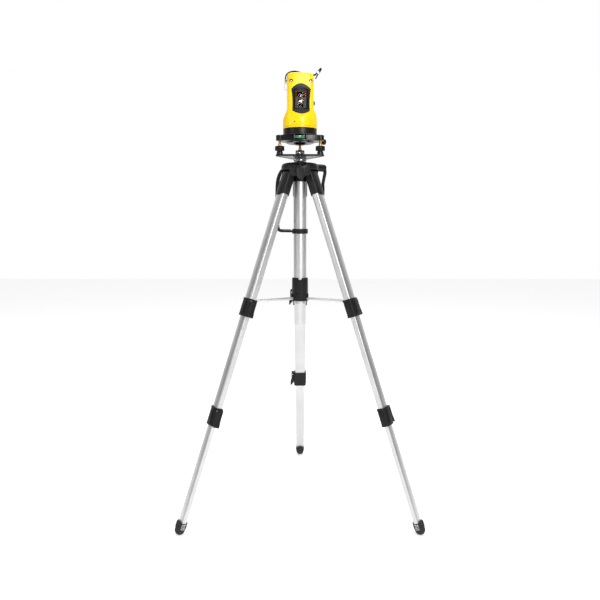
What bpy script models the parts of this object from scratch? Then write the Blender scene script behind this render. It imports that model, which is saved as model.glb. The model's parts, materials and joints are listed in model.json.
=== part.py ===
"""Cross-line laser level on a small three-legged stand with a levelling base.

Metres, +Z up. The origin is on the floor under the middle of the three feet's
bounding box, so the stand's upright axis is a little in front of it.
"""
import math

import bmesh
import bpy
from mathutils import Vector

# ---- fits ---------------------------------------------------------------
GAP = 0.0003  # between pieces that touch
SLIDE_GAP = 0.0005  # between a tube and the one that slides in it
THROUGH = 0.01  # how far a cutter runs past the face it opens

# ---- stand --------------------------------------------------------------
FOOT_CIRCLE = 0.312
PIVOT_CIRCLE = 0.032
PIVOT_HEIGHT = 0.805
LEG_AZIMUTHS = {"rear": 90.0, "left": 210.0, "right": 330.0}
TUBE_WALL = 0.0013
LEG_WIDTH = 0.031
LEG_DEPTH = 0.019
SOCKET_LENGTH = 0.052
SOCKET_TOP = 0.004
SOCKET_SEAT = 0.014
UPPER_TUBE_START = 0.016
SOCKET_WALL = 0.0018
CLAMP_WALL = 0.003
CLAMP_LENGTH = 0.042
CLAMP_LIP = 0.012
UPPER_CLAMP_AT = 0.300
LOWER_CLAMP_AT = 0.557
TUBE_OVERLAP = 0.040
LEVER_THICKNESS = 0.007
LEVER_WIDTH = 0.014
LEVER_HINGE_DROP = 0.005
BOOT_LENGTH = 0.030
BOOT_RADIUS = 0.0115
BOOT_SEAT = 0.015
SOLE_CUT = 0.0008

CENTRE_TUBE_RADIUS = 0.0152
CENTRE_TUBE_END = 0.5035
COLUMN_WALL = 0.0016
COLUMN_END = 0.452
COLUMN_TOP = 0.8375
COLUMN_HEAD_RADIUS = 0.0155
COLUMN_HEAD_DEPTH = 0.012

BRACE_HUB_RADIUS = 0.0195
BRACE_HUB_BOTTOM = 0.522
BRACE_HUB_TOP = 0.565
BRACE_PIN_HEIGHT = 0.516
BRACE_PIN_RADIUS = 0.0192
BRACE_WIDTH = 0.0055
BRACE_THICKNESS = 0.005
BRACE_SHORT = 0.040
LUG_DROP = 0.003
LUG_INSET = 0.0035

HUB_RADIUS = 0.045
HUB_BOTTOM = 0.801
HUB_SEAM = 0.817
HUB_SHOULDER = 0.830
HUB_TOP = 0.8355
COLLAR_BOTTOM = 0.790
COLLAR_RADIUS = 0.0183
LEG_SLOT_GAP = 0.0010
PIVOT_BOSS_RADIUS = 0.010
PIVOT_BOSS_WIDTH = 0.022

BULLSEYE_RADIUS = 0.0065
BULLSEYE_HEIGHT = 0.006
BULLSEYE_AT = 0.030
WING_HEIGHT = 0.812
WING_BOSS_RADIUS = 0.009
WING_WIDTH = 0.019
WING_LENGTH = 0.028
WING_THICKNESS = 0.006
WING_TILT = math.radians(12)

CRANK_AZIMUTH = math.radians(30)
CRANK_HEIGHT = 0.8245
CRANK_HOUSING_RADIUS = 0.0085
CRANK_HOUSING_END = 0.064
CRANK_ARM_WIDTH = 0.010
CRANK_GRIP_RADIUS = 0.0068
CRANK_GRIP_LENGTH = 0.026
CRANK_GRIP_DROP = 0.060

HANDLE_AZIMUTH = math.radians(150)
HANDLE_BAND = 0.010
HANDLE_THICKNESS = 0.006
HANDLE_CLIP_HEIGHT = 0.675
HANDLE_REACH = 0.066

# ---- levelling base -----------------------------------------------------
SCREW_AZIMUTHS = (90, 210, 330)
SCREW_CIRCLE = 0.0535
PLATE_BOTTOM = 0.8455
PLATE_THICKNESS = 0.0042
PLATE_CORNER = 0.0095
POST_RADIUS = 0.00725
POST_TOP = 0.856
KNOB_RADIUS = 0.01075
KNOB_BOTTOM = 0.858
KNOB_HEIGHT = 0.010
SCREW_RADIUS = 0.0029
SCREW_COLLAR_RADIUS = 0.0041
WASHER_RADIUS = 0.013
NUT_RADIUS = 0.0078
STUD_RADIUS = 0.004
TRIBRACH_BOTTOM = 0.880
TRIBRACH_THICKNESS = 0.0125
TRIBRACH_CORNER = 0.0085
TRIBRACH_WAIST = 0.036
DIAL_RADIUS = 0.046
DIAL_THICKNESS = 0.0018
SPIGOT_RADIUS = 0.014
SPIGOT_LENGTH = 0.010
VIAL_LENGTH = 0.0214
VIAL_RADIUS = 0.0031
VIAL_BOSS_WIDTH = 0.032
VIAL_BOSS_FRONT = 0.047
CLAMP_KNOB_RADIUS = 0.0065
CLAMP_STEM_RADIUS = 0.0028
CLAMP_KNOB_END = 0.069

# ---- laser head ---------------------------------------------------------
HEAD_TURN = math.radians(5)
BASE_RADIUS = 0.039
BASE_RING_TOP = 0.909
DRUM_WALL = 0.0035
DRUM_FLOOR = 0.004
HOUSING_TOP = 1.031
FLARE_BOTTOM = 0.927
FLARE_TOP = 0.957
BODY_WIDTH = 0.0597
BODY_DEPTH = 0.056
SHELL_WALL = 0.0022
SPLIT_AT = 0.008
SCREW_HOLE_RADIUS = 0.0038
SCREW_HOLE_SPACING = 0.0444
SCREW_HOLE_HEIGHT = 1.012
BEZEL_TOP = 1.006
BEZEL_BOTTOM = 0.939
BEZEL_SHOULDER = 0.994
BEZEL_HEEL = 0.946
BEZEL_TOP_WIDTH = 0.044
BEZEL_BOTTOM_WIDTH = 0.0395
BEZEL_PROUD = 0.0012
BEZEL_DEPTH = 0.007
WINDOW_WIDTH = 0.025
WINDOW_TOP = 0.989
WINDOW_BAR = 0.0115
WINDOW_BOTTOM = 0.955
WINDOW_STEM = 0.0113
SWITCH_HEIGHT = 0.968
SWITCH_RADIUS = 0.0058
SWITCH_PROUD = 0.0045
CAP_RADIUS = 0.0215
CAP_RECESS = 0.0035
CAP_THICKNESS = 0.003
BATTERY_WIDTH = 0.036
BATTERY_LENGTH = 0.050
BATTERY_BOTTOM = 0.965
COVER_THICKNESS = 0.0024
RING_HEIGHT = 1.004
RING_RADIUS = 0.019
RING_THICKNESS = 0.004
PENDULUM_WIDTH = 0.015
PENDULUM_BOTTOM = 0.930
UPPER_MODULE_RADIUS = 0.0078
UPPER_MODULE_HEIGHT = 0.981
LOWER_MODULE_RADIUS = 0.0058
LOWER_MODULE_HEIGHT = 0.963
MODULE_FRONT = 0.0165
BRACKET_REACH = 0.0235
BRACKET_PLATE_RADIUS = 0.030
BRACKET_PLATE_BORE = 0.017
RING_PIN_RADIUS = 0.0012
WEIGHT_RADIUS = 0.0115
WEIGHT_HEIGHT = 0.014
YOKE_WIDTH = 0.006
STRAP_WIDTH = 0.010
STRAP_THICKNESS = 0.003
STRAP_FRONT = 0.010

# ---- worked out from the above ------------------------------------------
SOLE_HEIGHT = BOOT_RADIUS - SOLE_CUT
LEG_LENGTH = math.hypot(FOOT_CIRCLE - PIVOT_CIRCLE, PIVOT_HEIGHT - SOLE_HEIGHT)
SPREAD = math.atan2(FOOT_CIRCLE - PIVOT_CIRCLE, PIVOT_HEIGHT - SOLE_HEIGHT)
STEP_IN = 2 * (TUBE_WALL + SLIDE_GAP)
MIDDLE_WIDTH = LEG_WIDTH - STEP_IN
MIDDLE_DEPTH = LEG_DEPTH - STEP_IN
LOWER_WIDTH = MIDDLE_WIDTH - STEP_IN
LOWER_DEPTH = MIDDLE_DEPTH - STEP_IN
BOOT_TOP = LEG_LENGTH - BOOT_LENGTH + BOOT_RADIUS
COLUMN_RADIUS = CENTRE_TUBE_RADIUS - TUBE_WALL - GAP
LUG_AT = UPPER_CLAMP_AT + LUG_DROP
LUG_DEPTH = LEG_DEPTH / 2 + LUG_INSET
LUG_CIRCLE = PIVOT_CIRCLE + LUG_AT * math.sin(SPREAD) - LUG_DEPTH * math.cos(SPREAD)
LUG_HEIGHT = PIVOT_HEIGHT - LUG_AT * math.cos(SPREAD) - LUG_DEPTH * math.sin(SPREAD)
BRACE_REACH = math.hypot(LUG_CIRCLE - BRACE_PIN_RADIUS, BRACE_PIN_HEIGHT - LUG_HEIGHT)
BRACE_SLOPE = math.atan2(BRACE_PIN_HEIGHT - LUG_HEIGHT, LUG_CIRCLE - BRACE_PIN_RADIUS)
BRACE_LENGTH = BRACE_REACH - BRACE_SHORT
PLATE_TOP = PLATE_BOTTOM + PLATE_THICKNESS
TRIBRACH_TOP = TRIBRACH_BOTTOM + TRIBRACH_THICKNESS
DIAL_TOP = TRIBRACH_TOP + GAP + DIAL_THICKNESS
BASE_RING_BOTTOM = DIAL_TOP + GAP
HOUSING_BOTTOM = BASE_RING_TOP + GAP
FRONT = -BODY_DEPTH / 2
BACK = BODY_DEPTH / 2
SIDE = BODY_WIDTH / 2


# ---- helpers ------------------------------------------------------------
def clear_scene():
    for old in list(bpy.data.objects):
        bpy.data.objects.remove(old, do_unlink=True)


def new_collection(name):
    made = bpy.data.collections.new(name)
    bpy.context.scene.collection.children.link(made)
    return made


clear_scene()
PARTS = new_collection("laser_level_on_tripod")
CUTTERS = new_collection("cutters")


def finish(name, colour, roughness, metallic=0.0):
    made = bpy.data.materials.new(name)
    made.use_nodes = True
    shader = made.node_tree.nodes["Principled BSDF"]
    shader.inputs["Base Color"].default_value = (*colour, 1.0)
    shader.inputs["Roughness"].default_value = roughness
    shader.inputs["Metallic"].default_value = metallic
    return made


YELLOW = finish("yellow_plastic", (0.93, 0.72, 0.03), 0.3)
BLACK = finish("black_plastic", (0.02, 0.02, 0.022), 0.45)
GLOSS_BLACK = finish("gloss_black_paint", (0.012, 0.012, 0.013), 0.2)
RUBBER = finish("black_rubber", (0.018, 0.018, 0.018), 0.8)
ALUMINIUM = finish("satin_aluminium", (0.75, 0.76, 0.77), 0.35, 1.0)
STEEL = finish("plated_steel", (0.7, 0.7, 0.7), 0.3, 1.0)
BRASS = finish("brass", (0.78, 0.55, 0.22), 0.3, 1.0)
GREEN = finish("green_vial", (0.05, 0.55, 0.2), 0.1)
LIME = finish("lime_vial", (0.45, 0.6, 0.1), 0.1)
WEBBING = finish("black_webbing", (0.02, 0.02, 0.02), 0.9)


def empty(name, parent=None, location=(0, 0, 0), rotation=(0, 0, 0)):
    made = bpy.data.objects.new(name, None)
    PARTS.objects.link(made)
    made.parent = parent
    made.location = location
    made.rotation_euler = rotation
    return made


def put(name, mesh, parent, material, group=PARTS):
    made = bpy.data.objects.new(name, mesh)
    group.objects.link(made)
    made.parent = parent
    mesh.materials.clear()
    mesh.materials.append(material)
    mesh.shade_smooth()
    mesh.set_sharp_from_angle(angle=math.radians(35))
    if group is CUTTERS:
        made.hide_render = True
        made.display_type = "WIRE"
    return made


def mesh_from(bm, name):
    mesh = bpy.data.meshes.new(name)
    bmesh.ops.recalc_face_normals(bm, faces=bm.faces)
    bm.to_mesh(mesh)
    bm.free()
    return mesh


def box(name, low, high, parent, material, group=PARTS):
    """A block between two corners."""
    low = Vector(low)
    high = Vector(high)
    bm = bmesh.new()
    bmesh.ops.create_cube(bm, size=1.0)
    bmesh.ops.scale(bm, vec=high - low, verts=bm.verts)
    bmesh.ops.translate(bm, vec=(low + high) / 2, verts=bm.verts)
    return put(name, mesh_from(bm, name), parent, material, group)


def turned(name, profile, parent, material, steps=32, group=PARTS):
    """A turned piece: its outline runs down the outer side, then closes on the axis or up the bore."""
    bm = bmesh.new()
    points = [bm.verts.new((r, 0, z)) for r, z in profile]
    for first, second in zip(points, points[1:]):
        bm.edges.new((first, second))
    if profile[0][0] > 0:
        bm.edges.new((points[-1], points[0]))
    mesh = bpy.data.meshes.new(name)
    bm.to_mesh(mesh)
    bm.free()
    made = put(name, mesh, parent, material, group)
    screw = made.modifiers.new("turn", "SCREW")
    screw.steps = steps
    screw.render_steps = steps
    screw.use_merge_vertices = True
    screw.merge_threshold = 0.00001
    return made


def plug(name, radius, low, high, parent, steps=32):
    """A round cutter between two heights."""
    profile = [(0, high), (radius, high), (radius, low), (0, low)]
    return turned(name, profile, parent, BLACK, steps, CUTTERS)


def flat_outline(name, outlines, thickness, parent, material, group=PARTS):
    """A flat piece in its own XY plane; a second outline is a hole through it."""
    curve = bpy.data.curves.new(name, "CURVE")
    curve.dimensions = "2D"
    curve.fill_mode = "BOTH"
    curve.extrude = thickness / 2
    for outline in outlines:
        spline = curve.splines.new("POLY")
        spline.points.add(len(outline) - 1)
        for point, (x, y) in zip(spline.points, outline):
            point.co = (x, y, 0, 1)
        spline.use_cyclic_u = True
    holder = bpy.data.objects.new(name + "_outline", curve)
    bpy.context.scene.collection.objects.link(holder)
    bpy.context.view_layer.update()
    graph = bpy.context.evaluated_depsgraph_get()
    mesh = bpy.data.meshes.new_from_object(holder.evaluated_get(graph))
    bpy.data.objects.remove(holder, do_unlink=True)
    bm = bmesh.new()
    bm.from_mesh(mesh)
    bmesh.ops.remove_doubles(bm, verts=bm.verts, dist=0.00001)
    bmesh.ops.recalc_face_normals(bm, faces=bm.faces)
    bm.to_mesh(mesh)
    bm.free()
    return put(name, mesh, parent, material, group)


def rod(name, route, radius, parent, material, sides=2, group=PARTS):
    """A round bar along a route."""
    curve = bpy.data.curves.new(name, "CURVE")
    curve.dimensions = "3D"
    curve.bevel_depth = radius
    curve.bevel_resolution = sides
    curve.use_fill_caps = True
    spline = curve.splines.new("POLY")
    spline.points.add(len(route) - 1)
    for point, place in zip(spline.points, route):
        point.co = (*place, 1)
    holder = bpy.data.objects.new(name + "_route", curve)
    bpy.context.scene.collection.objects.link(holder)
    bpy.context.view_layer.update()
    graph = bpy.context.evaluated_depsgraph_get()
    mesh = bpy.data.meshes.new_from_object(holder.evaluated_get(graph))
    bpy.data.objects.remove(holder, do_unlink=True)
    bm = bmesh.new()
    bm.from_mesh(mesh)
    bmesh.ops.remove_doubles(bm, verts=bm.verts, dist=0.00001)
    bmesh.ops.recalc_face_normals(bm, faces=bm.faces)
    bm.to_mesh(mesh)
    bm.free()
    return put(name, mesh, parent, material, group)


def facing_front(name, outlines, near, far, group=CUTTERS, material=BLACK, parent=None):
    """A flat outline stood upright, reaching from y near to y far."""
    made = flat_outline(name, outlines, far - near, parent or HEAD, material, group)
    made.rotation_euler.x = math.pi / 2
    made.location.y = (near + far) / 2
    return made


def combine(base, other, operation):
    joint = base.modifiers.new(other.name, "BOOLEAN")
    joint.operation = operation
    joint.object = other
    return base


def cut(base, *cutters):
    for cutter in cutters:
        combine(base, cutter, "DIFFERENCE")
    return base


def weld(base, *others):
    for other in others:
        combine(base, other, "UNION")
    return base


def soften(obj, width, segments=2, angle=40):
    bevel = obj.modifiers.new("soften", "BEVEL")
    bevel.width = width
    bevel.segments = segments
    bevel.limit_method = "ANGLE"
    bevel.angle_limit = math.radians(angle)
    bevel.use_clamp_overlap = True
    return obj


def arc(centre, radius, start, end, count):
    """Points along an arc, angles in degrees."""
    points = []
    for step in range(count + 1):
        angle = math.radians(start + (end - start) * step / count)
        points.append((centre[0] + radius * math.cos(angle), centre[1] + radius * math.sin(angle)))
    return points


def circle_outline(radius, count=24, centre=(0, 0)):
    return arc(centre, radius, 0, 360 - 360 / count, count - 1)


def ring_profile(outer, inner, bottom, top):
    return [(outer, top), (outer, bottom), (inner, bottom), (inner, top)]


def around(azimuth, radius, height=0.0):
    return (radius * math.cos(azimuth), radius * math.sin(azimuth), height)


STAND = empty("stand_axis", location=(0, -FOOT_CIRCLE / 4, 0))
HEAD = empty("head_axis", STAND, rotation=(0, 0, HEAD_TURN))


# ---- legs ---------------------------------------------------------------
def tube_section(width, depth):
    """Flat inner side with small corners, crowned outer side."""
    corner = 0.22 * depth
    shoulder = 0.18 * depth
    half = width / 2
    inner = -depth / 2
    outline = []
    outline += arc((-half + corner, inner + corner), corner, 180, 270, 2)
    outline += arc((half - corner, inner + corner), corner, 270, 360, 2)
    for step in range(9):
        angle = math.pi * step / 8
        rise = (depth / 2 - shoulder) * math.sin(angle) ** 0.8
        outline.append((half * math.cos(angle), shoulder + rise))
    return outline


def leg_tube(name, parent, width, depth, start, end):
    walls = (
        tube_section(width, depth),
        tube_section(width - 2 * TUBE_WALL, depth - 2 * TUBE_WALL),
    )
    made = flat_outline(name, walls, end - start, parent, ALUMINIUM)
    made.location.z = -(start + end) / 2
    return made


def section_cutter(name, parent, width, depth, start, end, gap=GAP):
    outline = tube_section(width + 2 * gap, depth + 2 * gap)
    made = flat_outline(name, [outline], end - start, parent, ALUMINIUM, CUTTERS)
    made.location.z = -(start + end) / 2
    return made


def leg_socket(side, leg):
    """Black casting: a boss on the leg's hinge that the upper tube is pushed into."""
    name = f"{side}_leg_socket"
    width = LEG_WIDTH + 2 * SOCKET_WALL
    depth = LEG_DEPTH + 2 * SOCKET_WALL
    body = flat_outline(name, [tube_section(width, depth)], SOCKET_LENGTH - SOCKET_TOP, leg, BLACK)
    body.location.z = -(SOCKET_LENGTH + SOCKET_TOP) / 2
    boss = flat_outline(
        f"{name}_boss", [circle_outline(PIVOT_BOSS_RADIUS, 20)], PIVOT_BOSS_WIDTH, leg, BLACK, CUTTERS
    )
    boss.rotation_euler.y = math.pi / 2
    weld(body, boss)
    end = SOCKET_LENGTH + THROUGH
    bore = section_cutter(f"{name}_bore", leg, LEG_WIDTH, LEG_DEPTH, SOCKET_SEAT, end)
    cut(body, bore)
    return body


def leg_clamp(name, leg, width, depth, start, inner_width, inner_depth):
    """Sleeve on the end of one tube, with a lip close around the next one."""
    outline = tube_section(width + 2 * CLAMP_WALL, depth + 2 * CLAMP_WALL)
    body = flat_outline(name, [outline], CLAMP_LENGTH, leg, BLACK)
    body.location.z = -(start + CLAMP_LENGTH / 2)
    seat = start + CLAMP_LENGTH - CLAMP_LIP
    cut(
        body,
        section_cutter(f"{name}_seat", leg, width, depth, start - THROUGH, seat),
        section_cutter(
            f"{name}_lip", leg, inner_width, inner_depth, seat - THROUGH / 2,
            start + CLAMP_LENGTH + THROUGH, SLIDE_GAP,
        ),
    )
    return body


def clamp_lever(name, leg, width, start):
    """Flip lever on the clamp's side, hinged at its top end."""
    hinge = empty(f"{name}_hinge", leg)
    side = width / 2 + CLAMP_WALL + GAP
    hinge.location = (-side - LEVER_THICKNESS / 2, 0, -(start + LEVER_HINGE_DROP))
    half = LEVER_THICKNESS / 2
    outline = arc((0, 0), half, 0, 180, 6)
    outline += [(-half, -CLAMP_LENGTH + 0.011)]
    outline += [(half - 0.0015, -CLAMP_LENGTH + 0.007), (half, -CLAMP_LENGTH + 0.014)]
    made = flat_outline(name, [outline], LEVER_WIDTH, hinge, BLACK)
    made.rotation_euler.x = math.pi / 2
    return made


def foot(name, leg):
    """Rubber boot with a ball end, flat where it stands."""
    crown = [(x, y - LEG_LENGTH) for x, y in arc((0, 0), BOOT_RADIUS, 0, -75, 5)]
    neck = BOOT_RADIUS + 0.0012
    profile = [(0, -BOOT_TOP), (neck, -BOOT_TOP), (neck, -BOOT_TOP - 0.012), *crown]
    profile.append((0, -LEG_LENGTH - BOOT_RADIUS))
    made = turned(name, profile, leg, RUBBER, 24)
    seat = BOOT_TOP + BOOT_SEAT + 0.001
    bore = section_cutter(f"{name}_bore", leg, LOWER_WIDTH, LOWER_DEPTH, BOOT_TOP - THROUGH, seat)
    floor = box(f"{name}_floor", (-0.5, -0.5, -0.1), (0.5, 0.5, 0.0), None, RUBBER, CUTTERS)
    return cut(made, bore, floor)


def leg(side, azimuth):
    angle = math.radians(azimuth)
    top = empty(
        f"{side}_leg_pivot", STAND, around(angle, PIVOT_CIRCLE, PIVOT_HEIGHT),
        (SPREAD, 0, angle - math.pi / 2),
    )
    upper_end = UPPER_CLAMP_AT + CLAMP_LENGTH - CLAMP_LIP - GAP
    middle_end = LOWER_CLAMP_AT + CLAMP_LENGTH - CLAMP_LIP - GAP
    leg_socket(side, top)
    leg_tube(f"{side}_upper_tube", top, LEG_WIDTH, LEG_DEPTH, UPPER_TUBE_START, upper_end)
    leg_clamp(
        f"{side}_upper_clamp", top, LEG_WIDTH, LEG_DEPTH, UPPER_CLAMP_AT, MIDDLE_WIDTH, MIDDLE_DEPTH
    )
    clamp_lever(f"{side}_upper_lever", top, LEG_WIDTH, UPPER_CLAMP_AT)
    leg_tube(
        f"{side}_middle_tube", top, MIDDLE_WIDTH, MIDDLE_DEPTH, upper_end - TUBE_OVERLAP, middle_end
    )
    leg_clamp(
        f"{side}_lower_clamp", top, MIDDLE_WIDTH, MIDDLE_DEPTH, LOWER_CLAMP_AT, LOWER_WIDTH, LOWER_DEPTH
    )
    clamp_lever(f"{side}_lower_lever", top, MIDDLE_WIDTH, LOWER_CLAMP_AT)
    leg_tube(
        f"{side}_lower_tube", top, LOWER_WIDTH, LOWER_DEPTH, middle_end - TUBE_OVERLAP,
        BOOT_TOP + BOOT_SEAT,
    )
    foot(f"{side}_foot", top)


def brace(side, azimuth):
    """Flat strap on edge, hinged in the sliding hub; its outer pivot on the leg is left open."""
    angle = math.radians(azimuth)
    pin = empty(
        f"{side}_brace_pin", STAND, around(angle, BRACE_PIN_RADIUS, BRACE_PIN_HEIGHT),
        (0, BRACE_SLOPE, angle),
    )
    half = BRACE_WIDTH / 2
    outline = arc((0, 0), half, 90, 270, 8) + arc((BRACE_LENGTH, 0), half, 270, 450, 8)
    made = flat_outline(f"{side}_brace", [outline], BRACE_THICKNESS, pin, ALUMINIUM)
    made.rotation_euler.x = math.pi / 2
    return made


# ---- middle of the stand --------------------------------------------------
def brace_hub():
    """Sliding spool on the centre tube with a slot for each strap."""
    bore = CENTRE_TUBE_RADIUS + SLIDE_GAP
    low = BRACE_PIN_HEIGHT - BRACE_WIDTH / 2 - 0.001
    profile = [
        (BRACE_HUB_RADIUS - 0.001, BRACE_HUB_TOP),
        (BRACE_HUB_RADIUS - 0.0005, BRACE_HUB_BOTTOM + 0.008),
        (BRACE_HUB_RADIUS + 0.001, BRACE_HUB_BOTTOM + 0.006),
        (BRACE_HUB_RADIUS + 0.001, low - 0.002),
        (bore, low - 0.002),
        (bore, BRACE_HUB_TOP),
    ]
    made = turned("brace_hub", profile, STAND, BLACK)
    for side, azimuth in LEG_AZIMUTHS.items():
        angle = math.radians(azimuth)
        turn = empty(f"{side}_brace_slot", STAND, (0, 0, 0), (0, 0, angle))
        half = BRACE_THICKNESS / 2 + GAP
        slot = box(
            f"{side}_brace_slot_cut",
            (CENTRE_TUBE_RADIUS + 0.0009, -half, low - THROUGH),
            (BRACE_HUB_RADIUS + THROUGH, half, BRACE_PIN_HEIGHT + BRACE_WIDTH / 2 + GAP),
            turn, BLACK, CUTTERS,
        )
        cut(made, slot)
    return made


def centre_tube():
    profile = ring_profile(
        CENTRE_TUBE_RADIUS, CENTRE_TUBE_RADIUS - TUBE_WALL, CENTRE_TUBE_END, HUB_BOTTOM - GAP
    )
    return turned("centre_tube", profile, STAND, ALUMINIUM)


def column():
    """Elevator column: tube, head flange, and the stud, washer and nut that hold the base plate."""
    bore = COLUMN_RADIUS - COLUMN_WALL
    head = COLUMN_TOP
    plate_low = PLATE_BOTTOM - GAP
    plate_high = PLATE_TOP + GAP
    profile = [
        (0, plate_high + 0.0115),
        (STUD_RADIUS, plate_high + 0.0115),
        (STUD_RADIUS, plate_high + 0.010),
        (NUT_RADIUS, plate_high + 0.009),
        (NUT_RADIUS, plate_high + 0.0045),
        (NUT_RADIUS + 0.002, plate_high + 0.0042),
        (WASHER_RADIUS, plate_high + 0.001),
        (WASHER_RADIUS, plate_high),
        (STUD_RADIUS, plate_high),
        (STUD_RADIUS, plate_low),
        (COLUMN_HEAD_RADIUS, plate_low),
        (COLUMN_HEAD_RADIUS, head),
        (COLUMN_RADIUS, head),
        (COLUMN_RADIUS, COLUMN_END),
        (bore, COLUMN_END),
        (bore, head - COLUMN_HEAD_DEPTH),
        (0, head - COLUMN_HEAD_DEPTH),
    ]
    return turned("column", profile, STAND, ALUMINIUM)


def lobed_outline(radius, lobe, count=72):
    """A round outline that swells a little at each leg."""
    points = []
    for step in range(count):
        angle = 2 * math.pi * step / count
        swell = lobe * math.cos(3 * (angle - math.pi / 2))
        points.append(((radius + swell) * math.cos(angle), (radius + swell) * math.sin(angle)))
    return points


def loft(name, rings, parent, material, group=PARTS):
    """Skin through closed rings of equal count, ends filled."""
    bm = bmesh.new()
    made = [[bm.verts.new(point) for point in ring] for ring in rings]
    count = len(rings[0])
    for lower, upper in zip(made, made[1:]):
        for step in range(count):
            after = (step + 1) % count
            bm.faces.new((lower[step], lower[after], upper[after], upper[step]))
    bm.faces.new(list(reversed(made[0])))
    bm.faces.new(made[-1])
    return put(name, mesh_from(bm, name), parent, material, group)


def leg_slots(name, base):
    """Each leg folds in its own slot of the hub."""
    width = LEG_WIDTH + 2 * SOCKET_WALL + 2 * LEG_SLOT_GAP
    for side, azimuth in LEG_AZIMUTHS.items():
        turn = empty(f"{name}_{side}_slot", STAND, (0, 0, 0), (0, 0, math.radians(azimuth)))
        inner = PIVOT_CIRCLE - PIVOT_BOSS_RADIUS - 0.004
        slot = box(
            f"{name}_{side}_slot_cut", (inner, -width / 2, HUB_BOTTOM - THROUGH),
            (HUB_RADIUS + THROUGH, width / 2, HUB_SEAM + THROUGH),
            turn, BLACK, CUTTERS,
        )
        cut(base, slot)


def crank_housing(name, radius):
    """Round housing of the crank's shaft, out of the canopy's side."""
    turn = empty(f"{name}_turn", STAND, (0, 0, CRANK_HEIGHT), (0, 0, CRANK_AZIMUTH))
    start = HUB_RADIUS - 0.011
    made = flat_outline(
        name, [circle_outline(radius, 20)], CRANK_HOUSING_END - start, turn, BLACK, CUTTERS
    )
    made.rotation_euler.y = math.pi / 2
    made.location.x = (CRANK_HOUSING_END + start) / 2
    return made


def wing_boss(name, radius):
    """Round boss on the hub's front that the lock wing turns on."""
    front = -HUB_RADIUS - 0.0002
    back = -HUB_RADIUS + 0.012
    return facing_front(name, [circle_outline(radius, 20, (0, WING_HEIGHT))], front, back, parent=STAND)


def hub_body():
    """Lower casting that carries the three leg hinges and the centre tube's collar."""
    rings = []
    for height, radius in ((HUB_BOTTOM, 0.0405), (HUB_BOTTOM + 0.003, 0.0425), (HUB_SEAM - GAP, 0.044)):
        rings.append([(x, y, height) for x, y in lobed_outline(radius - 0.001, 0.001)])
    made = loft("hub_body", rings, STAND, BLACK)
    profile = ring_profile(COLLAR_RADIUS, CENTRE_TUBE_RADIUS + GAP, COLLAR_BOTTOM, HUB_BOTTOM + 0.006)
    collar = turned("hub_collar", profile, STAND, BLACK, 32, CUTTERS)
    bore = plug("hub_bore", COLUMN_RADIUS + SLIDE_GAP, HUB_BOTTOM - THROUGH, HUB_TOP + THROUGH, STAND)
    cut(made, bore)
    leg_slots("hub_body", made)
    weld(made, collar, wing_boss("wing_boss", WING_BOSS_RADIUS))
    return cut(made, crank_housing("crank_housing_seat", CRANK_HOUSING_RADIUS + GAP))


def hub_cap():
    """Domed three-lobed canopy over the leg hinges, with the crank's housing on its side."""
    rings = []
    steps = (
        (HUB_SEAM, 0.0440), (HUB_SEAM + 0.006, 0.0438), (HUB_SHOULDER - 0.003, 0.0428),
        (HUB_SHOULDER, 0.0405), (HUB_SHOULDER + 0.002, 0.0355), (HUB_SHOULDER + 0.0035, 0.027),
        (HUB_TOP, 0.019),
    )
    for height, radius in steps:
        rings.append([(x, y, height) for x, y in lobed_outline(radius - 0.001, 0.001)])
    made = loft("hub_cap", rings, STAND, BLACK)
    weld(made, crank_housing("crank_housing", CRANK_HOUSING_RADIUS))
    cut(made, wing_boss("wing_boss_seat", WING_BOSS_RADIUS + GAP))
    above = HUB_TOP + THROUGH
    bore = plug("cap_bore", COLUMN_RADIUS + SLIDE_GAP, HUB_SEAM - THROUGH, above, STAND)
    pocket = plug("bullseye_pocket", BULLSEYE_RADIUS + GAP, HUB_TOP - BULLSEYE_HEIGHT, above, STAND, 24)
    pocket.location.y = -BULLSEYE_AT
    return cut(made, bore, pocket)


def bullseye_vial():
    low = HUB_TOP - BULLSEYE_HEIGHT + GAP
    profile = [(0, low + 0.0045), (BULLSEYE_RADIUS - 0.001, low + 0.0043), (BULLSEYE_RADIUS, low + 0.0035),
               (BULLSEYE_RADIUS, low), (0, low)]
    made = turned("bullseye_vial", profile, STAND, LIME, 24)
    made.location.y = -BULLSEYE_AT
    return made


def lock_wing():
    """Oval thumb lever that locks the column, on a stub through the hub's front."""
    axis = empty("lock_wing_axis", STAND, (0, -HUB_RADIUS - 0.0035, WING_HEIGHT))
    half = WING_WIDTH / 2
    reach = WING_LENGTH - WING_WIDTH
    outline = arc((0, 0), half, 0, 180, 12) + arc((0, -reach), half, 180, 360, 12)
    made = flat_outline("lock_wing", [outline], WING_THICKNESS, axis, BLACK)
    made.rotation_euler = (math.pi / 2, WING_TILT, 0)
    return soften(made, 0.0015, 2)


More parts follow.
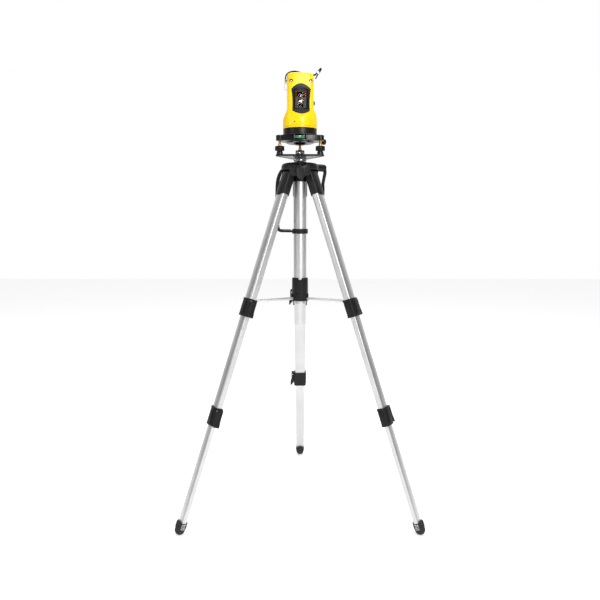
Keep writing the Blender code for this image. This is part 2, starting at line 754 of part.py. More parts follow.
def crank():
    """Folded crank: an arm on the housing's end and a ribbed grip that points inwards."""
    turn = empty("crank_axis", STAND, (0, 0, CRANK_HEIGHT), (0, 0, CRANK_AZIMUTH))
    near = CRANK_HOUSING_END + GAP
    route = [
        (near + 0.0000, 0.007), (near + 0.0050, 0.007), (near + 0.0085, -0.012),
        (near + 0.0010, -0.036), (near + 0.0030, -0.066), (near - 0.0030, -0.066),
        (near - 0.0030, -0.050), (near - 0.0050, -0.036), (near + 0.0030, -0.013),
        (near + 0.0000, -0.008),
    ]
    arm = flat_outline("crank_arm", [route], CRANK_ARM_WIDTH, turn, BLACK)
    arm.rotation_euler.x = math.pi / 2
    pin = empty("crank_grip_axis", turn, (0, 0, -CRANK_GRIP_DROP))
    end = near - 0.0030 - 0.0006
    profile = [
        (0, end), (CRANK_GRIP_RADIUS - 0.001, end), (CRANK_GRIP_RADIUS - 0.001, end - 0.004),
        (CRANK_GRIP_RADIUS, end - 0.006), (CRANK_GRIP_RADIUS, end - CRANK_GRIP_LENGTH + 0.002),
        (CRANK_GRIP_RADIUS - 0.002, end - CRANK_GRIP_LENGTH), (0, end - CRANK_GRIP_LENGTH),
    ]
    grip = turned("crank_grip", profile, pin, BLACK, 20)
    grip.rotation_euler.y = math.pi / 2
    return arm, grip


def carry_handle():
    """C-shaped carrying handle from the hub down to a clip round the centre tube."""
    turn = empty("handle_turn", STAND, (0, 0, 0), (0, 0, HANDLE_AZIMUTH))
    outer = HANDLE_REACH
    inner = outer - HANDLE_THICKNESS
    low = HANDLE_CLIP_HEIGHT - HANDLE_BAND / 2
    high = HANDLE_CLIP_HEIGHT + HANDLE_BAND / 2
    start = HUB_RADIUS - 0.0015
    outline = [
        (start, 0.824), (start + 0.004, 0.824), (outer - 0.007, 0.805), (outer - 0.001, 0.780),
        (outer, 0.750), (outer, 0.700), (outer - 0.002, low + 0.004), (outer - 0.007, low),
        (CENTRE_TUBE_RADIUS + 0.0015, low), (CENTRE_TUBE_RADIUS + 0.0015, high),
        (0.030, high), (inner - 0.006, high + 0.002), (inner - 0.001, high + 0.010),
        (inner, 0.705), (inner, 0.750), (inner - 0.001, 0.778), (inner - 0.006, 0.800), (start, 0.814),
    ]
    made = flat_outline("carry_handle", [outline], HANDLE_BAND, turn, BLACK)
    made.rotation_euler.x = math.pi / 2
    profile = ring_profile(CENTRE_TUBE_RADIUS + 0.0035, CENTRE_TUBE_RADIUS + GAP, low - 0.0005, high + 0.0005)
    clip = turned("handle_clip", profile, STAND, BLACK, 32, CUTTERS)
    return weld(made, clip)


# ---- levelling base -----------------------------------------------------
def three_cornered(reach, corner, waist):
    """Outline with three round corners and hollow sides."""
    points = []
    for azimuth in SCREW_AZIMUTHS:
        centre = (reach * math.cos(math.radians(azimuth)), reach * math.sin(math.radians(azimuth)))
        points += arc(centre, corner, azimuth - 78, azimuth + 78, 8)
        middle = math.radians(azimuth + 60)
        spread = 0.45 * waist
        for offset in (-spread, 0.0, spread):
            depth = waist + 0.004 * (offset / spread) ** 2
            points.append((
                depth * math.cos(middle) - offset * math.sin(middle),
                depth * math.sin(middle) + offset * math.cos(middle),
            ))
    return points


def straight_cornered(reach, corner):
    points = []
    for azimuth in SCREW_AZIMUTHS:
        centre = (reach * math.cos(math.radians(azimuth)), reach * math.sin(math.radians(azimuth)))
        points += arc(centre, corner, azimuth - 60, azimuth + 60, 8)
    return points


def base_plate():
    """Triangular pressed plate with a post for each levelling screw."""
    holes = [straight_cornered(SCREW_CIRCLE, PLATE_CORNER), circle_outline(STUD_RADIUS + GAP, 16)]
    made = flat_outline("base_plate", holes, PLATE_THICKNESS, STAND, GLOSS_BLACK)
    made.location.z = PLATE_BOTTOM + PLATE_THICKNESS / 2
    for number, azimuth in enumerate(SCREW_AZIMUTHS):
        profile = [
            (POST_RADIUS, POST_TOP), (POST_RADIUS, PLATE_TOP + 0.003),
            (POST_RADIUS + 0.0015, PLATE_TOP - 0.001),
            (SCREW_RADIUS + GAP, PLATE_TOP - 0.001), (SCREW_RADIUS + GAP, POST_TOP),
        ]
        post = turned(f"post_{number}", profile, STAND, GLOSS_BLACK, 24, CUTTERS)
        post.location = around(math.radians(azimuth), SCREW_CIRCLE)
        weld(made, post)
    return made


def level_screw(number, azimuth):
    """Brass screw with its collar and knurled knob."""
    top = TRIBRACH_TOP - 0.0015
    knob_top = KNOB_BOTTOM + KNOB_HEIGHT
    profile = [
        (0, top), (SCREW_RADIUS, top), (SCREW_RADIUS, knob_top + 0.006),
        (SCREW_COLLAR_RADIUS, knob_top + 0.004), (SCREW_COLLAR_RADIUS, knob_top + 0.001),
        (KNOB_RADIUS - 0.001, knob_top), (KNOB_RADIUS, knob_top - 0.001),
        (KNOB_RADIUS, KNOB_BOTTOM + 0.001), (KNOB_RADIUS - 0.001, KNOB_BOTTOM),
        (SCREW_COLLAR_RADIUS + 0.002, KNOB_BOTTOM), (SCREW_COLLAR_RADIUS + 0.002, POST_TOP + GAP),
        (SCREW_RADIUS, POST_TOP + GAP), (SCREW_RADIUS, PLATE_TOP + GAP), (0, PLATE_TOP + GAP),
    ]
    made = turned(f"level_screw_{number}", profile, STAND, BRASS, 24)
    made.location = around(math.radians(azimuth), SCREW_CIRCLE)
    return made


def tribrach():
    """Three-armed casting on the levelling screws, with the vial's seat in front."""
    outlines = [three_cornered(SCREW_CIRCLE, TRIBRACH_CORNER, TRIBRACH_WAIST)]
    made = flat_outline("tribrach", outlines, TRIBRACH_THICKNESS, STAND, GLOSS_BLACK)
    made.location.z = TRIBRACH_BOTTOM + TRIBRACH_THICKNESS / 2
    half = VIAL_BOSS_WIDTH / 2
    boss = box(
        "vial_boss", (-half, -VIAL_BOSS_FRONT, TRIBRACH_BOTTOM - 0.003),
        (half, -0.030, TRIBRACH_TOP - 0.0005), STAND, GLOSS_BLACK, CUTTERS,
    )
    weld(made, boss)
    reach = VIAL_LENGTH / 2 + GAP
    depth = 2 * VIAL_RADIUS + 0.001
    seat = box(
        "vial_seat", (-reach, -VIAL_BOSS_FRONT - THROUGH, TRIBRACH_TOP - 0.0025 - depth),
        (reach, -VIAL_BOSS_FRONT + 1.8 * VIAL_RADIUS + GAP, TRIBRACH_TOP - 0.0015),
        STAND, GLOSS_BLACK, CUTTERS,
    )
    below = TRIBRACH_BOTTOM - THROUGH
    above = TRIBRACH_TOP + THROUGH
    cut(made, seat, plug("tribrach_bore", SPIGOT_RADIUS + GAP, below, above, STAND))
    for number, azimuth in enumerate(SCREW_AZIMUTHS):
        hole = plug(f"screw_hole_{number}", SCREW_RADIUS + GAP, below, above, STAND, 16)
        hole.location = around(math.radians(azimuth), SCREW_CIRCLE)
        cut(made, hole)
    return made


def degree_dial():
    profile = ring_profile(DIAL_RADIUS, SPIGOT_RADIUS + GAP, TRIBRACH_TOP + GAP, DIAL_TOP)
    return turned("degree_dial", profile, STAND, GLOSS_BLACK, 48)


def tube_vial():
    """Glass spirit tube lying in its seat."""
    half = VIAL_LENGTH / 2
    profile = [(0, half), (VIAL_RADIUS - 0.0006, half), (VIAL_RADIUS, half - 0.0006),
               (VIAL_RADIUS, -half + 0.0006), (VIAL_RADIUS - 0.0006, -half), (0, -half)]
    made = turned("tube_vial", profile, STAND, GREEN, 20)
    made.rotation_euler.y = math.pi / 2
    height = TRIBRACH_TOP - 0.0025 - VIAL_RADIUS - 0.0005
    made.location = (0, -VIAL_BOSS_FRONT + 0.8 * VIAL_RADIUS, height)
    return made


def clamp_knob():
    """Thumb screw that locks the head's turn; it comes out between two arms."""
    axis = empty("clamp_knob_axis", STAND, (0, 0, TRIBRACH_BOTTOM + 0.0055), (0, 0, CRANK_AZIMUTH))
    start = TRIBRACH_WAIST + 0.0042
    profile = [
        (0, CLAMP_KNOB_END), (CLAMP_KNOB_RADIUS - 0.001, CLAMP_KNOB_END),
        (CLAMP_KNOB_RADIUS, CLAMP_KNOB_END - 0.001), (CLAMP_KNOB_RADIUS, CLAMP_KNOB_END - 0.010),
        (CLAMP_STEM_RADIUS, CLAMP_KNOB_END - 0.011), (CLAMP_STEM_RADIUS, start), (0, start),
    ]
    made = turned("clamp_knob", profile, axis, BLACK, 20)
    made.rotation_euler.y = math.pi / 2
    return made


# ---- laser head ---------------------------------------------------------
def body_ring(height, inset=0.0, count=40):
    """One section of the housing: round at the base, a soft rectangle higher up."""
    blend = min(max((height - FLARE_BOTTOM) / (FLARE_TOP - FLARE_BOTTOM), 0.0), 1.0)
    ease = blend * blend * (3 - 2 * blend)
    half_width = BASE_RADIUS + (SIDE - BASE_RADIUS) * ease - inset
    half_depth = BASE_RADIUS + (BACK - BASE_RADIUS) * ease - inset
    power = 2 / (2.0 + 4.0 * ease)
    ring = []
    for step in range(count):
        angle = 2 * math.pi * (step + 0.5) / count
        across = math.cos(angle)
        along = math.sin(angle)
        ring.append((
            half_width * math.copysign(abs(across) ** power, across),
            half_depth * math.copysign(abs(along) ** power, along),
            height,
        ))
    return ring


def housing_solid(name, inset, bottom, top, parent, material, group):
    heights = [bottom, FLARE_BOTTOM - 0.006]
    heights += [FLARE_BOTTOM + (FLARE_TOP - FLARE_BOTTOM) * step / 5 for step in range(6)]
    rings = [body_ring(height, inset) for height in heights]
    if inset == 0.0:
        rings.append(body_ring(top - 0.004))
        rings.append(body_ring(top - 0.0012, 0.0008))
        rings.append(body_ring(top, 0.003))
    else:
        rings.append(body_ring(top, inset))
    return loft(name, rings, parent, material, group)


def bezel_outline(inset):
    """Barrel-shaped frame outline: arched top and bottom, slightly waisted sides."""
    half_top = BEZEL_TOP_WIDTH / 2 - inset
    half_low = BEZEL_BOTTOM_WIDTH / 2 - inset
    points = []
    for step in range(11):
        share = 1 - step / 5
        rise = (BEZEL_TOP - BEZEL_SHOULDER) * (1 - share * share)
        points.append((half_top * share, BEZEL_SHOULDER - inset * (1 - abs(share)) + rise))
    points.append((-half_top + 0.0022, (BEZEL_SHOULDER + BEZEL_HEEL) / 2))
    for step in range(11):
        share = step / 5 - 1
        drop = (BEZEL_HEEL - BEZEL_BOTTOM) * (1 - share * share)
        points.append((half_low * share, BEZEL_HEEL + inset * (1 - abs(share)) - drop))
    points.append((half_top - 0.0022, (BEZEL_SHOULDER + BEZEL_HEEL) / 2))
    return points


def housing(name, front):
    """Half of the yellow shell."""
    made = housing_solid(name, 0.0, HOUSING_BOTTOM, HOUSING_TOP, HEAD, YELLOW, PARTS)
    ceiling = HOUSING_TOP - SHELL_WALL - CAP_RECESS
    inside = housing_solid(
        f"{name}_inside", SHELL_WALL, HOUSING_BOTTOM - THROUGH, ceiling, HEAD, YELLOW, CUTTERS
    )
    cap_hole = plug(f"{name}_cap_hole", CAP_RADIUS + GAP, ceiling - THROUGH, HOUSING_TOP + THROUGH, HEAD)
    cut(made, inside, cap_hole)
    far = 2 * BASE_RADIUS
    below = HOUSING_BOTTOM - far
    above = HOUSING_TOP + far
    if front:
        near = SPLIT_AT - GAP / 2
        half = box(f"{name}_half", (-far, near, below), (far, far, above), HEAD, YELLOW, CUTTERS)
        cut(made, half)
        opening = facing_front(f"{name}_window", [bezel_outline(-GAP)], FRONT - 0.02, FRONT + 0.012)
        cut(made, opening)
        for sign in (-1, 1):
            centre = (sign * SCREW_HOLE_SPACING / 2, SCREW_HOLE_HEIGHT)
            hole = facing_front(
                f"{name}_screw_{sign}", [circle_outline(SCREW_HOLE_RADIUS, 16, centre)],
                FRONT - 0.02, FRONT + 0.012,
            )
            cut(made, hole)
    else:
        near = SPLIT_AT + GAP / 2
        half = box(f"{name}_half", (-far, -far, below), (far, near, above), HEAD, YELLOW, CUTTERS)
        cut(made, half)
        reach = BATTERY_WIDTH / 2 + GAP
        hatch = box(
            f"{name}_hatch", (-reach, BACK - 0.012, BATTERY_BOTTOM - GAP),
            (reach, BACK + THROUGH, BATTERY_BOTTOM + BATTERY_LENGTH + GAP), HEAD, YELLOW, CUTTERS,
        )
        cut(made, hatch)
    switch = flat_outline(
        f"{name}_switch_hole", [circle_outline(SWITCH_RADIUS - 0.001, 20)], 0.02, HEAD, YELLOW, CUTTERS
    )
    switch.rotation_euler.y = math.pi / 2
    switch.location = (SIDE, 0, SWITCH_HEIGHT)
    return cut(made, switch) if front else made


def window_bezel():
    """Textured black frame with the T-shaped beam window."""
    half = WINDOW_WIDTH / 2
    stem = WINDOW_STEM / 2
    bar = WINDOW_TOP - WINDOW_BAR
    window = [
        (half, WINDOW_TOP), (-half, WINDOW_TOP), (-half, bar), (-stem, bar),
        (-stem, WINDOW_BOTTOM), (stem, WINDOW_BOTTOM), (stem, bar), (half, bar),
    ]
    return facing_front(
        "window_bezel", [bezel_outline(0.0), window], FRONT - BEZEL_PROUD, FRONT + BEZEL_DEPTH, PARTS
    )


def top_cap():
    """Round black cap sunk in the housing's top."""
    top = HOUSING_TOP - 0.0012
    profile = [
        (0, top), (0.009, top), (0.010, top - 0.0008), (CAP_RADIUS - 0.001, top - 0.001),
        (CAP_RADIUS, top - 0.002), (CAP_RADIUS, top - 0.002 - CAP_THICKNESS),
        (0, top - 0.002 - CAP_THICKNESS),
    ]
    return turned("top_cap", profile, HEAD, BLACK)


def base_ring():
    """Black drum under the housing; its spigot turns in the tribrach."""
    floor = BASE_RING_BOTTOM + DRUM_FLOOR
    inner = BASE_RADIUS - DRUM_WALL
    profile = [
        (0, floor), (inner, floor), (inner, BASE_RING_TOP), (BASE_RADIUS, BASE_RING_TOP),
        (BASE_RADIUS, BASE_RING_BOTTOM), (SPIGOT_RADIUS, BASE_RING_BOTTOM),
        (SPIGOT_RADIUS, TRIBRACH_TOP - SPIGOT_LENGTH), (0, TRIBRACH_TOP - SPIGOT_LENGTH),
    ]
    return turned("base_ring", profile, HEAD, BLACK, 48)


def switch_knob():
    """Rocking knob on the right side that also locks the pendulum."""
    stem = SWITCH_RADIUS - 0.001 - SLIDE_GAP
    profile = [
        (0, SIDE + SWITCH_PROUD), (0.002, SIDE + SWITCH_PROUD), (SWITCH_RADIUS, SIDE + 0.0006),
        (SWITCH_RADIUS, SIDE + GAP), (stem, SIDE + GAP), (stem, SIDE - SHELL_WALL - 0.001),
        (0, SIDE - SHELL_WALL - 0.001),
    ]
    axis = empty("switch_axis", HEAD, (0, 0, SWITCH_HEIGHT))
    made = turned("switch_knob", profile, axis, BLACK, 20)
    made.rotation_euler.y = math.pi / 2
    return made


def battery_cover():
    """Hatch in the housing's back."""
    half = BATTERY_WIDTH / 2
    return box(
        "battery_cover", (-half, BACK - COVER_THICKNESS, BATTERY_BOTTOM),
        (half, BACK + 0.0002, BATTERY_BOTTOM + BATTERY_LENGTH), HEAD, YELLOW,
    )


def gimbal_bracket():
    """Frame on the drum's floor whose two posts carry the gimbal ring."""
    floor = BASE_RING_BOTTOM + DRUM_FLOOR + GAP
    profile = ring_profile(BRACKET_PLATE_RADIUS, BRACKET_PLATE_BORE, floor, floor + 0.003)
    made = turned("gimbal_bracket", profile, HEAD, STEEL, 32)
    for sign in (-1, 1):
        post = box(
            f"bracket_post_{sign}", (sign * BRACKET_REACH - 0.0012, -0.004, floor + 0.001),
            (sign * BRACKET_REACH + 0.0012, 0.004, RING_HEIGHT + 0.005), HEAD, STEEL, CUTTERS,
        )
        weld(made, post)
    return made


def gimbal_ring():
    """Square-section ring that rocks side to front on two side pins."""
    half = RING_THICKNESS / 2
    inner = RING_RADIUS - RING_THICKNESS
    profile = ring_profile(RING_RADIUS, inner, RING_HEIGHT - half, RING_HEIGHT + half)
    made = turned("gimbal_ring", profile, HEAD, STEEL, 32)
    start = RING_RADIUS - half
    end = BRACKET_REACH - 0.0012 - GAP
    for sign in (-1, 1):
        route = [(sign * start, 0, RING_HEIGHT), (sign * end, 0, RING_HEIGHT)]
        weld(made, rod(f"ring_pin_{sign}", route, RING_PIN_RADIUS, HEAD, STEEL, 2, CUTTERS))
    return made


def pendulum():
    """Hanging block with the two laser modules and a brass weight."""
    half = PENDULUM_WIDTH / 2
    made = box(
        "pendulum", (-half, -half, PENDULUM_BOTTOM + 0.010), (half, half, RING_HEIGHT - 0.0065), HEAD, BRASS
    )
    side = YOKE_WIDTH / 2
    reach = RING_RADIUS - RING_THICKNESS - 0.0004
    yoke = box(
        "pendulum_yoke", (-side, -reach, RING_HEIGHT - 0.0015), (side, reach, RING_HEIGHT + 0.0015),
        HEAD, BRASS, CUTTERS,
    )
    neck = box(
        "pendulum_neck", (-side, -side, RING_HEIGHT - 0.010), (side, side, RING_HEIGHT),
        HEAD, BRASS, CUTTERS,
    )
    weight = plug(
        "pendulum_weight", WEIGHT_RADIUS, PENDULUM_BOTTOM, PENDULUM_BOTTOM + WEIGHT_HEIGHT, HEAD, 24
    )
    weld(made, neck, yoke, weight)
    for name, radius, height in (
        ("upper_module", UPPER_MODULE_RADIUS, UPPER_MODULE_HEIGHT),
        ("lower_module", LOWER_MODULE_RADIUS, LOWER_MODULE_HEIGHT),
    ):
        module = facing_front(name, [circle_outline(radius, 20, (0, height))], -MODULE_FRONT, 0.004)
        weld(made, module)
    return made


def strap():
    """Webbing wrist strap, looped over the housing's top."""
    half = STRAP_THICKNESS / 2
    top = HOUSING_TOP + GAP + half
    route = [
        (-SIDE - 0.0042, top - 0.0330), (-SIDE - 0.0047, top - 0.0130), (-SIDE - 0.0012, top + 0.0017),
        (-SIDE + 0.0078, top + 0.0072), (-0.008, top + 0.0102), (0.008, top + 0.0102),
        (SIDE - 0.0078, top + 0.0057), (SIDE + 0.0032, top + 0.0012), (SIDE + 0.0102, top + 0.0040),
        (SIDE + 0.0202, top + 0.0172),
    ]
    upper = []
    lower = []
    for number, point in enumerate(route):
        before = route[max(number - 1, 0)]
        after = route[min(number + 1, len(route) - 1)]
        run = Vector((after[0] - before[0], after[1] - before[1])).normalized()
        upper.append((point[0] - run.y * half, point[1] + run.x * half))
        lower.append((point[0] + run.y * half, point[1] - run.x * half))
    outline = upper + lower[::-1]
    return facing_front(
        "wrist_strap", [outline], STRAP_FRONT, STRAP_FRONT + STRAP_WIDTH, PARTS, WEBBING
    )


def build():
    for side, azimuth in LEG_AZIMUTHS.items():
        leg(side, azimuth)
        brace(side, azimuth)
    brace_hub()
    centre_tube()
    column()
    hub_body()
    hub_cap()
    bullseye_vial()
    lock_wing()
    crank()
    carry_handle()
    base_plate()
    for number, azimuth in enumerate(SCREW_AZIMUTHS):
        level_screw(number + 1, azimuth)
    tribrach()
    degree_dial()
    tube_vial()
    clamp_knob()
    housing("housing_front", True)
    housing("housing_rear", False)
    window_bezel()
    top_cap()
    base_ring()
    switch_knob()
    battery_cover()
    gimbal_bracket()
    gimbal_ring()
    pendulum()
    strap()


build()
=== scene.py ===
"""Looks of a cross-line laser level on a folding stand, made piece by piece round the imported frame."""
import json
import math

import bmesh
import bpy
from mathutils import Matrix, Vector


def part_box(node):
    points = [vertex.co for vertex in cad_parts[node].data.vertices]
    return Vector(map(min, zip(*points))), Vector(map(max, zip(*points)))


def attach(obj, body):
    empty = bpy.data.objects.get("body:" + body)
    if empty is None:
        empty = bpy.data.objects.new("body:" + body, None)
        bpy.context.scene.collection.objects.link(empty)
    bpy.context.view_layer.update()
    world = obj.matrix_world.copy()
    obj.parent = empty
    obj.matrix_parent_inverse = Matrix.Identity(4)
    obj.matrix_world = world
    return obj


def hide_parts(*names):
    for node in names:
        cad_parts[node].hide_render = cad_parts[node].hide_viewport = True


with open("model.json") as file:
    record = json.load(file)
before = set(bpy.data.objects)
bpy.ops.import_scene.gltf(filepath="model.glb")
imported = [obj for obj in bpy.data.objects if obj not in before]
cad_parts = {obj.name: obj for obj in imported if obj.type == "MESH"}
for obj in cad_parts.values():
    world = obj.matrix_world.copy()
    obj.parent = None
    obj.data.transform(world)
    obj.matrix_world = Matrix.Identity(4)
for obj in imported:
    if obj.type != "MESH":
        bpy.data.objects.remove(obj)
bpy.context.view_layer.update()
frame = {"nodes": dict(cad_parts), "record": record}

# ---- Where things are ----------------------------------------------------
# The stand's upright axis comes from the centre tube. Each joint gives the
# place and direction of the piece that turns or slides on it.
low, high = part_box("centre_tube")
AXIS = Vector(((low[0] + high[0]) / 2, (low[1] + high[1]) / 2, 0))
JOINTS = {joint["name"]: joint for joint in frame["record"]["behaviour"]["joints"]}
SIDES = {"rear": 90, "left": 210, "right": 330}


def span(node):
    """Lowest and highest height of a CAD node."""
    bottom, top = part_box(node)
    return bottom[2], top[2]


def axes(origin, x, z):
    """Placement whose X and Z run along two given directions."""
    z = Vector(z).normalized()
    y = z.cross(Vector(x)).normalized()
    x = y.cross(z)
    return Matrix.Translation(origin) @ Matrix((x, y, z)).transposed().to_4x4()


STAND = Matrix.Translation(AXIS)
HEAD = axes(AXIS, JOINTS["gimbal_rock"]["axis"], (0, 0, 1))

# ---- Camera, floor and light ----------------------------------------------
# The stand is seen from the front, a little below the head. One plain pale
# floor, three broad soft lamps and a white surround, which shines less from
# the front and the sides so that bright metal and black plastic keep their edges.
camera_data = bpy.data.cameras.new("camera")
camera_data.lens = 35.28
camera_data.sensor_width = 36
camera = bpy.data.objects.new("camera", camera_data)
bpy.context.scene.collection.objects.link(camera)
camera.location = (AXIS.x, AXIS.y - 1.402, 0.691)
camera.rotation_euler = (math.radians(90 - 7.32), 0, 0)
bpy.context.scene.camera = camera
bpy.context.scene.view_settings.view_transform = "Standard"

world = bpy.data.worlds.new("surround")
world.use_nodes = True
nodes = world.node_tree.nodes
heading = nodes.new("ShaderNodeTexCoord")
parts = nodes.new("ShaderNodeSeparateXYZ")
fade = nodes.new("ShaderNodeMapRange")
fade.inputs["From Min"].default_value = -0.25
fade.inputs["From Max"].default_value = 0.35
fade.inputs["To Min"].default_value = 0.34
fade.inputs["To Max"].default_value = 1.0
sideways = nodes.new("ShaderNodeMath")
sideways.operation = "ABSOLUTE"
dim_sides = nodes.new("ShaderNodeMapRange")
dim_sides.inputs["From Min"].default_value = 0.62
dim_sides.inputs["From Max"].default_value = 0.92
dim_sides.inputs["To Min"].default_value = 1.0
dim_sides.inputs["To Max"].default_value = 0.30
dimmed = nodes.new("ShaderNodeMath")
dimmed.operation = "MULTIPLY"
seen = nodes.new("ShaderNodeLightPath")
plain = nodes.new("ShaderNodeMath")
plain.operation = "MAXIMUM"
join = world.node_tree.links.new
join(heading.outputs["Generated"], parts.inputs["Vector"])
join(parts.outputs["Y"], fade.inputs["Value"])
join(parts.outputs["X"], sideways.inputs[0])
join(sideways.outputs["Value"], dim_sides.inputs["Value"])
join(fade.outputs["Result"], dimmed.inputs[0])
join(dim_sides.outputs["Result"], dimmed.inputs[1])
join(dimmed.outputs["Value"], plain.inputs[0])
join(seen.outputs["Is Camera Ray"], plain.inputs[1])
join(plain.outputs["Value"], nodes["Background"].inputs["Strength"])
nodes["Background"].inputs["Color"].default_value = (1, 1, 1, 1)
bpy.context.scene.world = world


def soft_lamp(name, place, size, power):
    """A broad lamp that looks at the middle of the stand."""
    data = bpy.data.lights.new(name, "AREA")
    data.shape = "RECTANGLE"
    data.size = size[0]
    data.size_y = size[1]
    data.energy = power
    lamp = bpy.data.objects.new(name, data)
    bpy.context.scene.collection.objects.link(lamp)
    lamp.location = place
    aim = Vector((AXIS.x, AXIS.y, 0.6)) - Vector(place)
    lamp.rotation_euler = aim.to_track_quat("-Z", "Y").to_euler()


soft_lamp("key", (0.75, -2.3, 1.7), (0.7, 1.8), 46)
soft_lamp("fill", (-1.9, -1.4, 1.3), (0.6, 1.6), 7)
soft_lamp("top", (0.2, 0.3, 2.8), (1.6, 1.6), 26)

floor_mesh = bpy.data.meshes.new("floor")
bm = bmesh.new()
bmesh.ops.create_grid(bm, x_segments=1, y_segments=1, size=6.0)
bm.to_mesh(floor_mesh)
bm.free()
floor = bpy.data.objects.new("floor", floor_mesh)
bpy.context.scene.collection.objects.link(floor)
paper = bpy.data.materials.new("pale_paper")
paper.use_nodes = True
shader = paper.node_tree.nodes["Principled BSDF"]
shader.inputs["Base Color"].default_value = (0.92, 0.92, 0.92, 1)
shader.inputs["Roughness"].default_value = 0.9
shader.inputs["Emission Color"].default_value = (1, 1, 1, 1)
shader.inputs["Emission Strength"].default_value = 0.36
floor_mesh.materials.append(paper)

# ---- Leg tubes ------------------------------------------------------------
# Three drawn aluminium sections to a leg, crowned outside and flat inside,
# satin anodised with fine draw lines along their length.
WALL = 0.0013
STEP_IN = 0.0036
LEG_WIDTH = 0.031
LEG_DEPTH = 0.019


def loop(bm, points, height=0.0):
    """A closed ring of edges through flat points."""
    verts = [bm.verts.new((x, y, height)) for x, y in points]
    return [bm.edges.new((a, b)) for a, b in zip(verts, verts[1:] + verts[:1])]


def arc(centre, radius, start, end, count):
    turns = [math.radians(start + (end - start) * step / count) for step in range(count + 1)]
    return [(centre[0] + radius * math.cos(t), centre[1] + radius * math.sin(t)) for t in turns]


def tube_section(width, depth, count=24):
    """Flat inner side with small corners, crowned outer side."""
    corner = 0.22 * depth
    shoulder = 0.18 * depth
    half = width / 2
    points = arc((-half + corner, -depth / 2 + corner), corner, 180, 270, 5)
    points += arc((half - corner, -depth / 2 + corner), corner, 270, 360, 5)
    for step in range(count + 1):
        turn = math.pi * step / count
        points.append((half * math.cos(turn), shoulder + (depth / 2 - shoulder) * math.sin(turn) ** 0.8))
    return points


def rim_edges(bm, sharp=50):
    return [e for e in bm.edges if len(e.link_faces) == 2 and e.calc_face_angle(0) > math.radians(sharp)]


def round_rims(bm, width, segments=2, sharp=50):
    bmesh.ops.bevel(
        bm, geom=rim_edges(bm, sharp), offset=width, offset_type="OFFSET", affect="EDGES",
        segments=segments, profile=0.5, material=-1, clamp_overlap=True,
    )


def prism(outline, bottom, top, hole=None, rounded=0.0, segments=2):
    """A flat outline drawn out along Z, with an optional hole of as many points."""
    bm = bmesh.new()
    edges = loop(bm, outline, bottom)
    if hole:
        bmesh.ops.bridge_loops(bm, edges=edges + loop(bm, hole, bottom))
    else:
        bmesh.ops.contextual_create(bm, geom=edges)
    drawn = bmesh.ops.extrude_face_region(bm, geom=bm.faces[:])
    moved = [v for v in drawn["geom"] if isinstance(v, bmesh.types.BMVert)]
    bmesh.ops.translate(bm, vec=(0, 0, top - bottom), verts=moved)
    bmesh.ops.recalc_face_normals(bm, faces=bm.faces)
    if rounded:
        round_rims(bm, rounded, segments)
    return bm


def piece(name, bm, finish, body, at=Matrix(), stands_for=(), crease=38):
    """Puts a finished bmesh in its place, keeps its own coordinates for its finish, and mounts it."""
    bmesh.ops.remove_doubles(bm, verts=bm.verts, dist=0.000002)
    bmesh.ops.recalc_face_normals(bm, faces=bm.faces)
    own = bm.verts.layers.float_vector.new("own")
    for vert in bm.verts:
        vert[own] = vert.co
    bm.transform(at)
    mesh = bpy.data.meshes.new(name)
    bm.to_mesh(mesh)
    bm.free()
    mesh.shade_smooth()
    mesh.set_sharp_from_angle(angle=math.radians(crease))
    mesh.materials.append(finish)
    made = bpy.data.objects.new(name, mesh)
    bpy.context.scene.collection.objects.link(made)
    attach(made, body)
    if stands_for:
        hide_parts(*stands_for)
    return made


